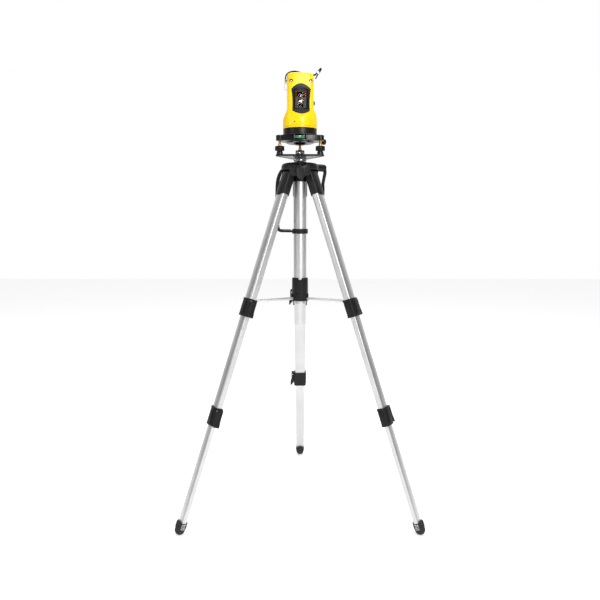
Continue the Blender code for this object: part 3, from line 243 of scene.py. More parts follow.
class Finish:
    """A Principled material whose patterns read the piece's own coordinates."""

    def __init__(self, name, roughness, metallic=0.0, **sockets):
        self.material = bpy.data.materials.new(name)
        self.material.use_nodes = True
        self.tree = self.material.node_tree
        self.shader = self.tree.nodes["Principled BSDF"]
        self.shader.inputs["Roughness"].default_value = roughness
        self.shader.inputs["Metallic"].default_value = metallic
        for socket, value in sockets.items():
            self.shader.inputs[socket.replace("_", " ")].default_value = value
        where = self.tree.nodes.new("ShaderNodeAttribute")
        where.attribute_name = "own"
        self.where = where.outputs["Vector"]

    def noise(self, scale, stretch=(1, 1, 1), detail=4.0):
        mapping = self.tree.nodes.new("ShaderNodeMapping")
        mapping.inputs["Scale"].default_value = stretch
        self.tree.links.new(self.where, mapping.inputs["Vector"])
        texture = self.tree.nodes.new("ShaderNodeTexNoise")
        texture.inputs["Scale"].default_value = scale
        texture.inputs["Detail"].default_value = detail
        self.tree.links.new(mapping.outputs["Vector"], texture.inputs["Vector"])
        return texture.outputs["Fac"]

    def grains(self, scale, stretch=(1, 1, 1)):
        mapping = self.tree.nodes.new("ShaderNodeMapping")
        mapping.inputs["Scale"].default_value = stretch
        self.tree.links.new(self.where, mapping.inputs["Vector"])
        texture = self.tree.nodes.new("ShaderNodeTexVoronoi")
        texture.inputs["Scale"].default_value = scale
        self.tree.links.new(mapping.outputs["Vector"], texture.inputs["Vector"])
        return texture.outputs["Distance"]

    def spread(self, value, first, last, low=0.3, high=0.7):
        node = self.tree.nodes.new("ShaderNodeMapRange")
        node.inputs["From Min"].default_value = low
        node.inputs["From Max"].default_value = high
        node.inputs["To Min"].default_value = first
        node.inputs["To Max"].default_value = last
        self.tree.links.new(value, node.inputs["Value"])
        return node.outputs["Result"]

    def mix(self, value, first, last, low=0.3, high=0.7):
        node = self.tree.nodes.new("ShaderNodeMix")
        node.data_type = "RGBA"
        node.inputs[6].default_value = (*first, 1)
        node.inputs[7].default_value = (*last, 1)
        self.tree.links.new(self.spread(value, 0, 1, low, high), node.inputs["Factor"])
        return node.outputs[2]

    def colour(self, value, first, last, low=0.3, high=0.7):
        self.tree.links.new(self.mix(value, first, last, low, high), self.shader.inputs["Base Color"])
        return self

    def rough(self, value, first, last):
        self.tree.links.new(self.spread(value, first, last), self.shader.inputs["Roughness"])
        return self

    def bump(self, *layers):
        """Each layer is a height, its strength and its depth in metres."""
        normal = None
        for value, strength, depth in layers:
            node = self.tree.nodes.new("ShaderNodeBump")
            node.inputs["Strength"].default_value = strength
            node.inputs["Distance"].default_value = depth
            self.tree.links.new(value, node.inputs["Height"])
            if normal:
                self.tree.links.new(normal, node.inputs["Normal"])
            normal = node.outputs["Normal"]
        self.tree.links.new(normal, self.shader.inputs["Normal"])
        return self


def anodised(name, light=0.56, roughness=0.38):
    """Satin aluminium with draw lines along the piece's Z."""
    finish = Finish(name, roughness, 0.92)
    lines = finish.noise(1.0, (2600, 2600, 6), 2.0)
    cloud = finish.noise(14.0)
    finish.colour(cloud, (light, light, light * 1.005), (light + 0.09,) * 3)
    finish.rough(lines, roughness - 0.06, roughness + 0.07)
    finish.bump((lines, 0.25, 0.00002), (finish.noise(420.0), 0.06, 0.00004))
    return finish.material


ANODISED = anodised("satin_anodised")


def leg_frame(side):
    """Placement of a leg: X across it, Y away from the stand, Z up along it, origin on its hinge."""
    hinge = JOINTS[f"{side}_leg_fold"]
    across = -Vector(hinge["axis"])
    return axes(hinge["pos_m"], across, JOINTS[f"{side}_middle_slide"]["axis"])


def along(side, node):
    """Lowest and highest place of a CAD node along its leg."""
    back = leg_frame(side).inverted()
    heights = [(back @ vert.co).z for vert in frame["nodes"][node].data.vertices]
    return min(heights), max(heights)


def grown(width, depth, by):
    return tube_section(width + 2 * by, depth + 2 * by)


SECTIONS = {
    "upper": (LEG_WIDTH, LEG_DEPTH, "leg"),
    "middle": (LEG_WIDTH - STEP_IN, LEG_DEPTH - STEP_IN, "middle"),
    "lower": (LEG_WIDTH - 2 * STEP_IN, LEG_DEPTH - 2 * STEP_IN, "lower"),
}
for side in SIDES:
    for part, (width, depth, body) in SECTIONS.items():
        bottom, top = along(side, f"{side}_{part}_tube")
        bm = prism(grown(width, depth, 0), bottom, top, grown(width, depth, -WALL), 0.00025, 1)
        piece(
            f"{side}_{part}_leg_section", bm, ANODISED, f"{side}_{body}", leg_frame(side),
            (f"{side}_{part}_tube",),
        )

# ---- Leg clamps -------------------------------------------------------------
# Moulded collars pressed on the end of a tube. Each has a raised band at both
# ends, a broad flat rib outside and a narrow one down each side.
def moulded(name, shade=0.006, roughness=0.5, grain=1500.0, depth=0.00006, gloss=0.22):
    """Black plastic from a lightly sparked mould."""
    finish = Finish(name, roughness, Specular_IOR_Level=gloss)
    pits = finish.noise(grain, detail=3.0)
    cloud = finish.noise(35.0)
    finish.colour(cloud, (shade, shade, shade * 1.06), (shade * 1.6, shade * 1.6, shade * 1.68))
    finish.rough(finish.noise(260.0), roughness - 0.07, roughness + 0.09)
    finish.bump((pits, 0.35, depth), (cloud, 0.1, 0.0003))
    return finish.material


BLACK = moulded("black_plastic")
CLAMP_WALL = 0.003
BAND = 0.0035


def add(bm, other):
    """Adds one bmesh's faces to another."""
    spare = bpy.data.meshes.new("spare")
    other.to_mesh(spare)
    other.free()
    bm.from_mesh(spare)
    bpy.data.meshes.remove(spare)
    return bm


def block(size, centre, rounded=0.0, segments=2, turn=Matrix()):
    """A small cuboid with rounded edges."""
    bm = bmesh.new()
    bmesh.ops.create_cube(bm, size=1.0)
    bmesh.ops.scale(bm, vec=size, verts=bm.verts)
    if rounded:
        round_rims(bm, rounded, segments)
    bm.transform(Matrix.Translation(centre) @ turn)
    return bm


def stepped_sleeve(width, depth, stations):
    """A sleeve of tube sections; each station is a height and how far it stands out."""
    bm = bmesh.new()
    rings = [loop(bm, grown(width, depth, out), height) for height, out in stations]
    for lower, upper in zip(rings, rings[1:]):
        bmesh.ops.bridge_loops(bm, edges=lower + upper)
    bmesh.ops.bridge_loops(bm, edges=rings[-1] + rings[0])
    return bm


def clamp(side, part, width, depth, body):
    bottom, top = along(side, f"{side}_{part}_clamp")
    out = CLAMP_WALL
    soft = 0.0006
    bm = stepped_sleeve(width, depth, (
        (bottom + 0.001, -STEP_IN / 2 + 0.0004), (bottom, -STEP_IN / 2 + 0.001),
        (bottom, out - 0.0012), (bottom + soft, out - 0.0003), (bottom + BAND, out),
        (bottom + BAND + soft, out - 0.0006), (top - BAND - 2 * soft, out - 0.0006),
        (top - BAND - soft, out), (top - soft, out), (top, out - soft), (top, 0.0008),
        (top - 0.0012, 0.0001),
    ))
    height = top - bottom
    rib = block((0.0145, 0.0012, height - 0.013), (0, depth / 2 + out - 0.0004, (top + bottom) / 2), 0.0005)
    add(bm, rib)
    for hand in (-1, 1):
        add(bm, block(
            (0.0016, depth * 0.55, height - 0.014),
            (hand * (width / 2 + out - 0.0002), -depth * 0.12, (top + bottom) / 2), 0.0005,
        ))
    piece(
        f"{side}_{part}_collar", bm, BLACK, body, leg_frame(side), (f"{side}_{part}_clamp",),
    )


for side in SIDES:
    clamp(side, "upper", *SECTIONS["upper"][:2], f"{side}_leg")
    clamp(side, "lower", *SECTIONS["middle"][:2], f"{side}_middle")

# ---- Flip levers -------------------------------------------------------------
# One cam lever on each clamp's side, hinged at its top on a steel pin, with a
# finger hook at its free end and two grip ribs.
def zinc_pins():
    finish = Finish("zinc_pins", 0.3, 1.0)
    finish.colour(finish.noise(900.0), (0.55, 0.55, 0.54), (0.72, 0.72, 0.7))
    finish.bump((finish.noise(3000.0), 0.1, 0.00002))
    return finish.material


PIN_STEEL = zinc_pins()
LEVER_THICK = 0.007
LEVER_BROAD = 0.014


def lathe(profile, steps=64):
    """Turns a profile of radius and height round Z."""
    bm = bmesh.new()
    verts = [bm.verts.new((r, 0, z)) for r, z in profile]
    edges = [bm.edges.new((a, b)) for a, b in zip(verts, verts[1:])]
    bmesh.ops.spin(
        bm, geom=verts + edges, cent=(0, 0, 0), axis=(0, 0, 1), angle=2 * math.pi,
        steps=steps, use_merge=True,
    )
    bmesh.ops.remove_doubles(bm, verts=bm.verts, dist=0.000002)
    return bm


def lying(bm, direction):
    """Turns a lathed piece so that its Z lies along another axis."""
    turn = Vector((0, 0, 1)).rotation_difference(Vector(direction)).to_matrix().to_4x4()
    bm.transform(turn)
    return bm


def pin_shape(radius, end_radius, reach, shoulder, steps):
    """A pin with chamfered ends, as long on both sides of its middle."""
    return lathe((
        (0, -reach), (end_radius, -reach), (radius, -shoulder), (radius, shoulder),
        (end_radius, reach), (0, reach),
    ), steps)


def lever_frame(side, part):
    hinge = JOINTS[f"{side}_{part}_lever_flip"]
    return axes(hinge["pos_m"], leg_frame(side).col[0].to_3d(), JOINTS[f"{side}_middle_slide"]["axis"])


def lever(side, part):
    half = LEVER_THICK / 2
    length = 0.036
    outline = arc((0, 0), half, 0, 180, 10)
    outline += [(-half, -length * 0.55), (-half - 0.0022, -length * 0.8), (-half - 0.003, -length + 0.001)]
    outline += arc((-half - 0.0012, -length + 0.001), 0.0018, 200, 290, 4)
    outline += [(-0.0005, -length * 0.86), (half - 0.0016, -length * 0.8), (half, -length * 0.62)]
    bm = prism(outline, -LEVER_BROAD / 2, LEVER_BROAD / 2, rounded=0.0007)
    bm.transform(Matrix.Rotation(math.pi / 2, 4, "X"))
    for step in range(3):
        add(bm, block(
            (0.0012, LEVER_BROAD * 0.7, 0.0011),
            (-half - 0.0012 - 0.0006 * step, 0, -length * 0.66 - 0.003 * step), 0.0004,
        ))
    at = lever_frame(side, part)
    piece(f"{side}_{part}_flip_lever", bm, BLACK, f"{side}_{part}_lever", at, (f"{side}_{part}_lever",))
    pin = lying(pin_shape(0.0014, 0.0011, 0.0079, 0.0076, 20), (0, 1, 0))
    piece(f"{side}_{part}_lever_pin", pin, PIN_STEEL, f"{side}_{part}_lever", at)


for side in SIDES:
    lever(side, "upper")
    lever(side, "lower")

# ---- Rubber feet ---------------------------------------------------------------
# Moulded boots pushed on the lower tubes: a ringed collar, a plain body and a
# ball end, worn flat where it stands.
def black_rubber():
    finish = Finish("black_rubber", 0.78, Specular_IOR_Level=0.3)
    finish.colour(finish.noise(60.0), (0.014, 0.014, 0.014), (0.034, 0.033, 0.032))
    finish.bump((finish.noise(1400.0), 0.4, 0.00008))
    return finish.material


RUBBER = black_rubber()


def boot(side):
    bottom, top = along(side, f"{side}_foot")
    ball = 0.0115
    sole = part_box(f"{side}_foot")[0].z
    profile = [(0.0, top), (ball + 0.0002, top), (ball + 0.0010, top - 0.0008), (ball + 0.0012, top - 0.0022)]
    for ring in range(3):
        start = top - 0.0035 - 0.0032 * ring
        profile += [(ball + 0.0003, start), (ball + 0.0003, start - 0.0009), (ball + 0.0012, start - 0.0015),
                    (ball + 0.0012, start - 0.0026)]
    profile += [(ball, top - 0.0145)]
    profile += [(r, bottom + ball + z) for r, z in arc((0, 0), ball, 0, -90, 14)]
    bm = lathe(profile, 56)
    bm.transform(leg_frame(side))
    cut = bmesh.ops.bisect_plane(
        bm, geom=bm.verts[:] + bm.edges[:] + bm.faces[:], plane_co=(0, 0, sole + 0.00005),
        plane_no=(0, 0, -1), clear_outer=True,
    )
    ends = [e for e in cut["geom_cut"] if isinstance(e, bmesh.types.BMEdge)]
    bmesh.ops.contextual_create(bm, geom=ends)
    bm.transform(leg_frame(side).inverted())
    piece(f"{side}_boot", bm, RUBBER, f"{side}_lower", leg_frame(side), (f"{side}_foot",))


for side in SIDES:
    boot(side)

# ---- Housing ------------------------------------------------------------------
# Two moulded shells in glossy yellow plastic, joined on a seam behind the
# middle. The front stays flat down to the drum while a shoulder swells out at
# each side of it; above a soft ridge the corners are drawn in towards the round top.
def yellow_plastic():
    finish = Finish("yellow_plastic", 0.26, Specular_IOR_Level=0.32)
    finish.colour(finish.noise(22.0), (0.88, 0.60, 0.0025), (0.92, 0.635, 0.0035))
    finish.rough(finish.noise(90.0), 0.2, 0.3)
    finish.bump((finish.noise(1500.0), 0.05, 0.00003), (finish.noise(60.0), 0.04, 0.0002))
    return finish.material


YELLOW = yellow_plastic()

BODY_HALF = 0.02985
FRONT = -0.028
FOOT_RADIUS = 0.039
SHELL_LOW, SHELL_TOP = span("housing_front")
SHELL_WALL = 0.0022
SEAM = 0.008
SEAM_GAP = 0.0003
RING_COUNT = 200
FLARE_LOW = 0.927
FLARE_TOP = 0.957
RIDGE = 1.0195


def ease(value):
    value = min(max(value, 0.0), 1.0)
    return value * value * (3 - 2 * value)


def skin(turn, height, inset=0.0):
    """A point of the housing's skin."""
    slim = ease((height - FLARE_LOW) / (FLARE_TOP - FLARE_LOW))
    crown = max(height - RIDGE, 0) / (SHELL_TOP - RIDGE)
    power = 2 / (2 + 4.4 * slim - 3.2 * crown)
    across, along_depth = math.cos(turn), math.sin(turn)
    half_width = FOOT_RADIUS + (BODY_HALF - FOOT_RADIUS) * slim - inset
    half_depth = FOOT_RADIUS + (-FRONT - FOOT_RADIUS) * slim - inset
    x = half_width * math.copysign(abs(across) ** power, across)
    y = half_depth * math.copysign(abs(along_depth) ** power, along_depth)
    edge = 0.0245 + 0.0062 * ease((height - 0.925) / 0.034) ** 1.6
    swell = ease((0.9585 - height) / 0.006) * ease((height - 0.9) / 0.018)
    beyond = ease((abs(x) - edge) / 0.0032)
    push = swell * (0.0012 * beyond - 0.0004)
    reach = math.hypot(x, y)
    x, y = x * (1 + push / reach), y * (1 + push / reach)
    if y < 0:
        y *= 1 - 0.05 * crown
    return x, y


def skin_ring(height, inset=0.0, count=RING_COUNT):
    turns = [2 * math.pi * (step + 0.5) / count for step in range(count)]
    return [(*skin(turn, height, inset), height) for turn in turns]


def ring_stack(rings):
    """A skin through closed rings of equal count, open at both ends."""
    bm = bmesh.new()
    rows = [[bm.verts.new(point) for point in ring] for ring in rings]
    for lower, upper in zip(rows, rows[1:]):
        for a, b, c, d in zip(lower, lower[1:] + lower[:1], upper[1:] + upper[:1], upper):
            bm.faces.new((a, b, c, d))
    return bm


def capped(bm):
    """Closes the open ends of a skin."""
    bmesh.ops.holes_fill(bm, edges=[e for e in bm.edges if e.is_boundary], sides=0)
    return bm


def spare(bm):
    mesh = bpy.data.meshes.new("spare")
    bm.to_mesh(mesh)
    bm.free()
    made = bpy.data.objects.new("spare", mesh)
    bpy.context.scene.collection.objects.link(made)
    return made


def worked(bm, wall=0.0, cutters=()):
    """Thickens a skin inwards, cuts shapes out of it, and gives back the result."""
    made = spare(bm)
    tools = [spare(cutter) for cutter in cutters]
    if wall:
        thick = made.modifiers.new("wall", "SOLIDIFY")
        thick.thickness = wall
        thick.offset = -1
    for tool in tools:
        hole = made.modifiers.new("hole", "BOOLEAN")
        hole.object = tool
        hole.operation = "DIFFERENCE"
        hole.solver = "EXACT"
    result = bmesh.new()
    result.from_object(made, bpy.context.evaluated_depsgraph_get())
    for item in [made, *tools]:
        bpy.data.objects.remove(item)
    return result


def facing(bm):
    """Turns a prism drawn upwards so that it points to the front."""
    bm.transform(Matrix.Rotation(math.pi / 2, 4, "X"))
    return bm


def circle(radius, centre=(0, 0), count=32):
    return arc(centre, radius, 0, 360 * (count - 1) / count, count - 1)


def whole_skin():
    heights = [SHELL_LOW, SHELL_LOW + 0.0006, 0.9155, 0.9161, 0.9167]
    heights += [0.9175 + 0.0015 * step for step in range(28)]
    heights += [0.9606 + 0.0045 * step for step in range(13)] + [RIDGE, RIDGE + 0.001]
    rings = []
    for height in heights:
        groove = 0.00035 if abs(height - 0.9161) < 0.0001 else 0.0
        lip = 0.0004 if height == SHELL_LOW else 0.0
        rings.append(skin_ring(height, groove + lip))
    top = SHELL_TOP
    rings += [skin_ring(RIDGE + rise) for rise in (0.0025, 0.0045, 0.0065)] + [skin_ring(top - 0.0032)]
    edge = ((0.0022, 0.0003), (0.0013, 0.0008), (0.0006, 0.0015), (0.0001, 0.0024), (0.0, 0.0033))
    for sink, inset in edge:
        rings.append(skin_ring(top - sink, inset))
    seat = 0.0218
    rim = []
    for x, y, height in rings[-1]:
        rim.append((x, y, math.hypot(x, y)))
    for share in (0.35, 0.7, 1.0):
        ring = []
        for x, y, reach in rim:
            factor = 1 + (seat / reach - 1) * share
            ring.append((x * factor, y * factor, top - 0.0008 - 0.0009 * share))
        rings.append(ring)
    rings.append([(x * 0.995, y * 0.995, top - 0.0058) for x, y, z in rings[-1]])
    rings.append([(x * 0.86, y * 0.86, top - 0.0058) for x, y, z in rings[-1]])
    return ring_stack(rings)


def half_skin(seam, keep):
    bm = whole_skin()
    bmesh.ops.bisect_plane(
        bm, geom=bm.verts[:] + bm.edges[:] + bm.faces[:], plane_co=(0, seam, 0),
        plane_no=(0, keep, 0), clear_inner=True,
    )
    bmesh.ops.recalc_face_normals(bm, faces=bm.faces)
    middle = sum((face.normal.dot(Vector((face.calc_center_median().x, face.calc_center_median().y, 0)))
                  for face in bm.faces if face.calc_center_median().z < 1.0), 0.0)
    if middle < 0:
        bmesh.ops.reverse_faces(bm, faces=bm.faces)
    return bm


def frame_loop(half_top, half_low, shoulder, heel, top, bottom, waist, count=16, side=12):
    """Barrel outline: arched top and bottom, sides drawn in a little."""
    points = []
    for step in range(count + 1):
        share = 1 - 2 * step / count
        points.append((half_top * share, shoulder + (top - shoulder) * (1 - share * share)))
    for hand in (-1, 1):
        start, end = (1, 0) if hand < 0 else (0, 1)
        for step in range(1, side):
            part = step / side if hand < 0 else 1 - step / side
            half = half_top + (half_low - half_top) * part - waist * math.sin(math.pi * part)
            points.append((hand * half, shoulder + (heel - shoulder) * part))
        if hand < 0:
            for step in range(count + 1):
                share = 2 * step / count - 1
                points.append((half_low * share, heel - (heel - bottom) * (1 - share * share)))
    return points


def bezel_loop(grow=0.0):
    return frame_loop(0.022 + grow, 0.01975 + grow, 0.994, 0.946, 1.006 + grow, 0.939 - grow, 0.0013)


WELLS = (-0.0222, 0.0222)
WELL_HEIGHT = 1.012
WELL_RADIUS = 0.0038
SWITCH_HEIGHT = 0.968
opening = facing(prism(bezel_loop(0.0002), 0.016, 0.05))
wells = [facing(prism(circle(WELL_RADIUS, (x, WELL_HEIGHT)), 0.012, 0.05)) for x in WELLS]
side_hole = prism(circle(0.0048), 0.02, 0.05)
side_hole.transform(Matrix.Translation((0, 0, SWITCH_HEIGHT)) @ Matrix.Rotation(math.pi / 2, 4, "Y"))
front_shell = worked(half_skin(SEAM - SEAM_GAP / 2, -1), SHELL_WALL, (opening, *wells, side_hole))
piece("front_shell", front_shell, YELLOW, "laser", HEAD, ("housing_front",), 32)
hatch_low, hatch_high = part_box("battery_cover")
hatch_hole = block((0.0364, 0.03, 0.0506), (0, 0.035, (hatch_low.z + hatch_high.z) / 2), 0.0)
rear_shell = worked(half_skin(SEAM + SEAM_GAP / 2, 1), SHELL_WALL, (hatch_hole,))
piece("rear_shell", rear_shell, YELLOW, "laser", HEAD, ("housing_rear",), 32)

# A plain printed dot, a fine line and a row of scale bars run round the belt.
def black_ink():
    finish = Finish("black_ink", 0.5, Specular_IOR_Level=0.2)
    finish.colour(finish.noise(500.0), (0.006, 0.006, 0.006), (0.014, 0.014, 0.013))
    return finish.material


INK = black_ink()


def print_patch(bm, start, end, bottom, top, columns=2):
    """A thin patch of ink on the skin between two turns and two heights."""
    rows = []
    for height in (bottom, top):
        turns = [start + (end - start) * step / columns for step in range(columns + 1)]
        rows.append([bm.verts.new((*skin(turn, height, -0.00012), height)) for turn in turns])
    for a, b, c, d in zip(rows[0], rows[0][1:], rows[1][1:], rows[1]):
        bm.faces.new((a, b, c, d))


print_bm = bmesh.new()
for number in range(37):
    turn = math.radians(270 + 3.0 * (number - 18))
    tall = 0.0042 if number % 6 == 0 else 0.0030 if number % 3 == 0 else 0.0021
    print_patch(print_bm, turn - 0.0048, turn + 0.0048, 0.9118, 0.9118 + tall)
print_patch(print_bm, math.radians(262), math.radians(306), 0.92075, 0.92100, 30)
dot = math.radians(246)
for step in range(8):
    rise = 0.0016 * math.cos(math.pi * (step + 0.5) / 16)
    half = 0.0016 * math.sin(math.pi * (step + 0.5) / 16) / 0.037
    print_patch(print_bm, dot - half, dot + half, 0.9209 - rise, 0.9209 + rise)
piece("belt_print", print_bm, INK, "laser", HEAD, (), 60)

# ---- Housing's inside ----------------------------------------------------------
# The shells' inner faces look deep orange through the window, lit by light
# bounced off the yellow walls; a plain liner stands for them, with that bounced
# light painted into it as a saturated orange colour and a faint emission, and
# the screw wells carry the same painted glow. Screw wells run back from the two
# holes in front, and a plated cross-headed screw sits at the bottom of each.
def painted_glow_inside():
    # Painted light: the orange colour and faint emission stand in for light bounced round inside the yellow
    # shells.
    finish = Finish("painted_glow_inside", 0.45, Emission_Color=(0.55, 0.085, 0.002, 1), Emission_Strength=0.22)
    finish.colour(finish.noise(60.0), (0.66, 0.10, 0.003), (0.80, 0.15, 0.005))
    finish.bump((finish.noise(900.0), 0.1, 0.00005))
    return finish.material


PAINTED_GLOW_ORANGE = painted_glow_inside()


def bright_chrome():
    finish = Finish("bright_chrome", 0.12, 1.0)
    finish.colour(finish.noise(120.0), (0.44, 0.44, 0.45), (0.56, 0.56, 0.57))
    finish.rough(finish.noise(500.0), 0.08, 0.18)
    finish.bump((finish.noise(2400.0), 0.05, 0.00002))
    return finish.material


CHROME = bright_chrome()


def turned_by(degrees):
    """A turn about the upright axis."""
    return Matrix.Rotation(math.radians(degrees), 4, "Z")


LINER_MIDDLE = 0.97775
LINER_TALL = 0.0565
# The liner carries the painted orange glow in place of the shells' lit inner faces.
liner = block((0.0532, 0.0008, LINER_TALL), (0, 0.0118, LINER_MIDDLE), 0.0002, 1)
for hand in (-1, 1):
    add(liner, block((0.0008, 0.0323, LINER_TALL), (hand * 0.0262, -0.0043, LINER_MIDDLE), 0.0002, 1))
piece("painted_glow_liner", liner, PAINTED_GLOW_ORANGE, "laser", HEAD)

for number, x in enumerate(WELLS):
    inwards = Matrix.Rotation(-math.pi / 2, 4, "X")
    # The well walls carry the same painted orange glow.
    tube = lathe((
        (WELL_RADIUS, 0.0), (0.0044, 0.0), (0.0044, 0.011), (0, 0.011), (0, 0.0102),
        (WELL_RADIUS, 0.0102), (WELL_RADIUS, 0),
    ), 32)
    tube.transform(Matrix.Translation((x, FRONT + 0.0012, WELL_HEIGHT)) @ inwards)
    piece(f"screw_well_{number + 1}", tube, PAINTED_GLOW_ORANGE, "laser", HEAD)
    head = lathe((
        (0, 0.0), (0.0015, 0.0001), (0.0026, 0.0006), (0.0031, 0.0013), (0.0031, 0.0024), (0, 0.0024),
    ), 32)
    cross = [block((0.0036, 0.0008, 0.002), (0, 0, 0.0002)), block((0.0008, 0.0036, 0.002), (0, 0, 0.0002))]
    head = worked(head, 0.0, cross)
    deep = 0.0035 if x < 0 else 0.0066
    head.transform(Matrix.Translation((x, FRONT + deep, WELL_HEIGHT)) @ inwards @ turned_by(38))
    piece(f"housing_screw_{number + 1}", head, CHROME, "laser", HEAD)

# ---- Window frame ---------------------------------------------------------------
# A black frame with a coarse sparked texture. Its rim rises to a crisp inner
# edge; four mitred walls slope back to a floor with a T-shaped opening, and a
# clear pane closes it from behind.
def grainy_black():
    finish = Finish("grainy_black", 0.42, Specular_IOR_Level=0.3)
    speckle = finish.noise(2100.0, detail=2.0)
    finish.colour(speckle, (0.004, 0.004, 0.005), (0.050, 0.052, 0.058), 0.5, 0.68)
    finish.rough(speckle, 0.5, 0.3)
    finish.bump((speckle, 0.7, 0.00016))
    return finish.material


GRAINY = grainy_black()


def clear_pane():
    finish = Finish("clear_pane", 0.03, Transmission_Weight=1.0, IOR=1.08, Specular_IOR_Level=0.1)
    finish.colour(finish.noise(8.0), (0.96, 0.93, 0.9), (1.0, 0.98, 0.96))
    return finish.material


CLEAR = clear_pane()

FLOOR_DEEP = FRONT + 0.0052
BAR_TOP, BAR_LOW, STEM_LOW = 0.989, 0.9775, 0.955
rings = (
    (bezel_loop(), FRONT + 0.0060), (bezel_loop(), FRONT + 0.0004), (bezel_loop(-0.0005), FRONT - 0.0001),
    (frame_loop(0.0172, 0.0166, 0.9925, 0.9500, 0.9986, 0.9460, 0.0004), FRONT - 0.0012),
    (frame_loop(0.0167, 0.0161, 0.9921, 0.9505, 0.9981, 0.9465, 0.0004), FRONT - 0.0010),
    (frame_loop(0.0127, 0.0127, 0.9912, 0.9535, 0.9912, 0.9535, 0.0), FLOOR_DEEP - 0.0002),
    (frame_loop(0.0124, 0.0124, 0.9909, 0.9538, 0.9909, 0.9538, 0.0), FLOOR_DEEP),
)
bezel = ring_stack([[(x, y, z) for x, z in outline] for outline, y in rings])
rim = [edge for edge in bezel.edges if edge.is_boundary]
inner = [edge for edge in rim if max(v.co.y for v in edge.verts) < FRONT + 0.0055]
tee = [
    (0.0123, BAR_TOP), (-0.0123, BAR_TOP), (-0.0123, BAR_LOW), (-0.0058, BAR_LOW),
    (-0.0058, STEM_LOW), (0.0058, STEM_LOW), (0.0058, BAR_LOW), (0.0123, BAR_LOW),
]
corners = [bezel.verts.new((x, FLOOR_DEEP, z)) for x, z in tee]
opening_edges = [bezel.edges.new((a, b)) for a, b in zip(corners, corners[1:] + corners[:1])]
bmesh.ops.triangle_fill(bezel, use_beauty=True, edges=inner + opening_edges)
drawn = bmesh.ops.extrude_edge_only(bezel, edges=opening_edges)
back = [item for item in drawn["geom"] if isinstance(item, bmesh.types.BMVert)]
bmesh.ops.translate(bezel, vec=(0, 0.0014, 0), verts=back)
piece("window_frame", bezel, GRAINY, "laser", HEAD, ("window_bezel",), 24)
pane = block((0.0300, 0.0008, 0.0420), (0, FLOOR_DEEP + 0.0020, 0.972), 0.0002, 1)
piece("window_pane", pane, CLEAR, "laser", HEAD)

# ---- Pendulum and its gimbal ----------------------------------------------------
# A sheet-steel ring on two side pins carries a brass block on two more. The
# block holds two black line-laser modules and a round damping weight below.
def turned_brass():
    finish = Finish("turned_brass", 0.26, 1.0)
    finish.colour(finish.noise(200.0, (1, 1, 8)), (0.60, 0.36, 0.10), (0.78, 0.52, 0.19))
    finish.rough(finish.noise(600.0, (1, 1, 6)), 0.2, 0.34)
    finish.bump((finish.noise(1800.0, (1, 1, 10)), 0.12, 0.00003))
    return finish.material


BRASS = turned_brass()
DARK_PARTS = moulded("module_black", 0.004, 0.3, 900.0, 0.00003, 0.35)
def lens_painted_glint():
    # Painted highlight: a near-white cream colour stands in for the glint off the glass lens.
    finish = Finish("lens_painted_glint", 0.1, Specular_IOR_Level=0.8)
    finish.colour(finish.noise(400.0), (0.95, 0.90, 0.72), (1.0, 0.98, 0.9))
    return finish.material


LENS_PAINTED_GLINT = lens_painted_glint()


def violet_lens():
    finish = Finish("violet_lens", 0.1, Specular_IOR_Level=0.8)
    finish.colour(finish.noise(400.0), (0.35, 0.16, 0.75), (0.62, 0.42, 0.95))
    return finish.material


LENS_VIOLET = violet_lens()

ring_low, ring_high = span("gimbal_ring")
ring_middle = (ring_low + ring_high) / 2
ring = lathe((
    (0.0150, ring_low + 0.0003), (0.0153, ring_low), (0.0187, ring_low), (0.0190, ring_low + 0.0003),
    (0.0190, ring_high - 0.0003), (0.0187, ring_high), (0.0153, ring_high), (0.0150, ring_high - 0.0003),
    (0.0150, ring_low + 0.0003),
), 72)
for hand in (-1, 1):
    pin = lying(lathe(((0, 0.0175), (0.0012, 0.0175), (0.0012, 0.0219), (0, 0.0219)), 20), (hand, 0, 0))
    pin.transform(Matrix.Translation((0, 0, ring_middle)))
    add(ring, pin)
piece("gimbal_hoop", ring, PIN_STEEL, "gimbal", HEAD, ("gimbal_ring",))

low, high = span("gimbal_bracket")
stand = lathe((
    (0.017, low), (0.030, low), (0.030, low + 0.0027), (0.0297, low + 0.003), (0.0173, low + 0.003),
    (0.017, low + 0.0027), (0.017, low),
), 72)
for hand in (-1, 1):
    middle = (high + low + 0.001) / 2
    add(stand, block((0.0024, 0.008, high - low - 0.001), (hand * 0.0235, 0, middle), 0.0005))
    bush = lathe(((0, 0.0246), (0.0026, 0.0246), (0.0028, 0.0250), (0.0024, 0.0254), (0, 0.0255)), 24)
    lying(bush, (hand, 0, 0)).transform(Matrix.Translation((0, 0, ring_middle)))
    add(stand, bush)
piece("gimbal_posts", stand, PIN_STEEL, "laser", HEAD, ("gimbal_bracket",))

low, high = span("pendulum")
bob_low = low + 0.010
bob_high = ring_middle - 0.0065
bob = block((0.015, 0.015, bob_high - bob_low), (0, 0, (bob_high + bob_low) / 2), 0.0006)
add(bob, block((0.006, 0.029, 0.003), (0, 0, ring_middle), 0.0005))
add(bob, block((0.006, 0.006, 0.0095), (0, 0, ring_middle - 0.0050), 0.0004))
add(bob, lathe((
    (0, low), (0.0110, low), (0.0115, low + 0.0005), (0.0115, low + 0.006), (0.0111, low + 0.0064),
    (0.0115, low + 0.0068), (0.0115, low + 0.0135), (0.0110, low + 0.014), (0, low + 0.014),
), 72))
piece("pendulum_bob", bob, BRASS, "pendulum_block", HEAD, ("pendulum",))


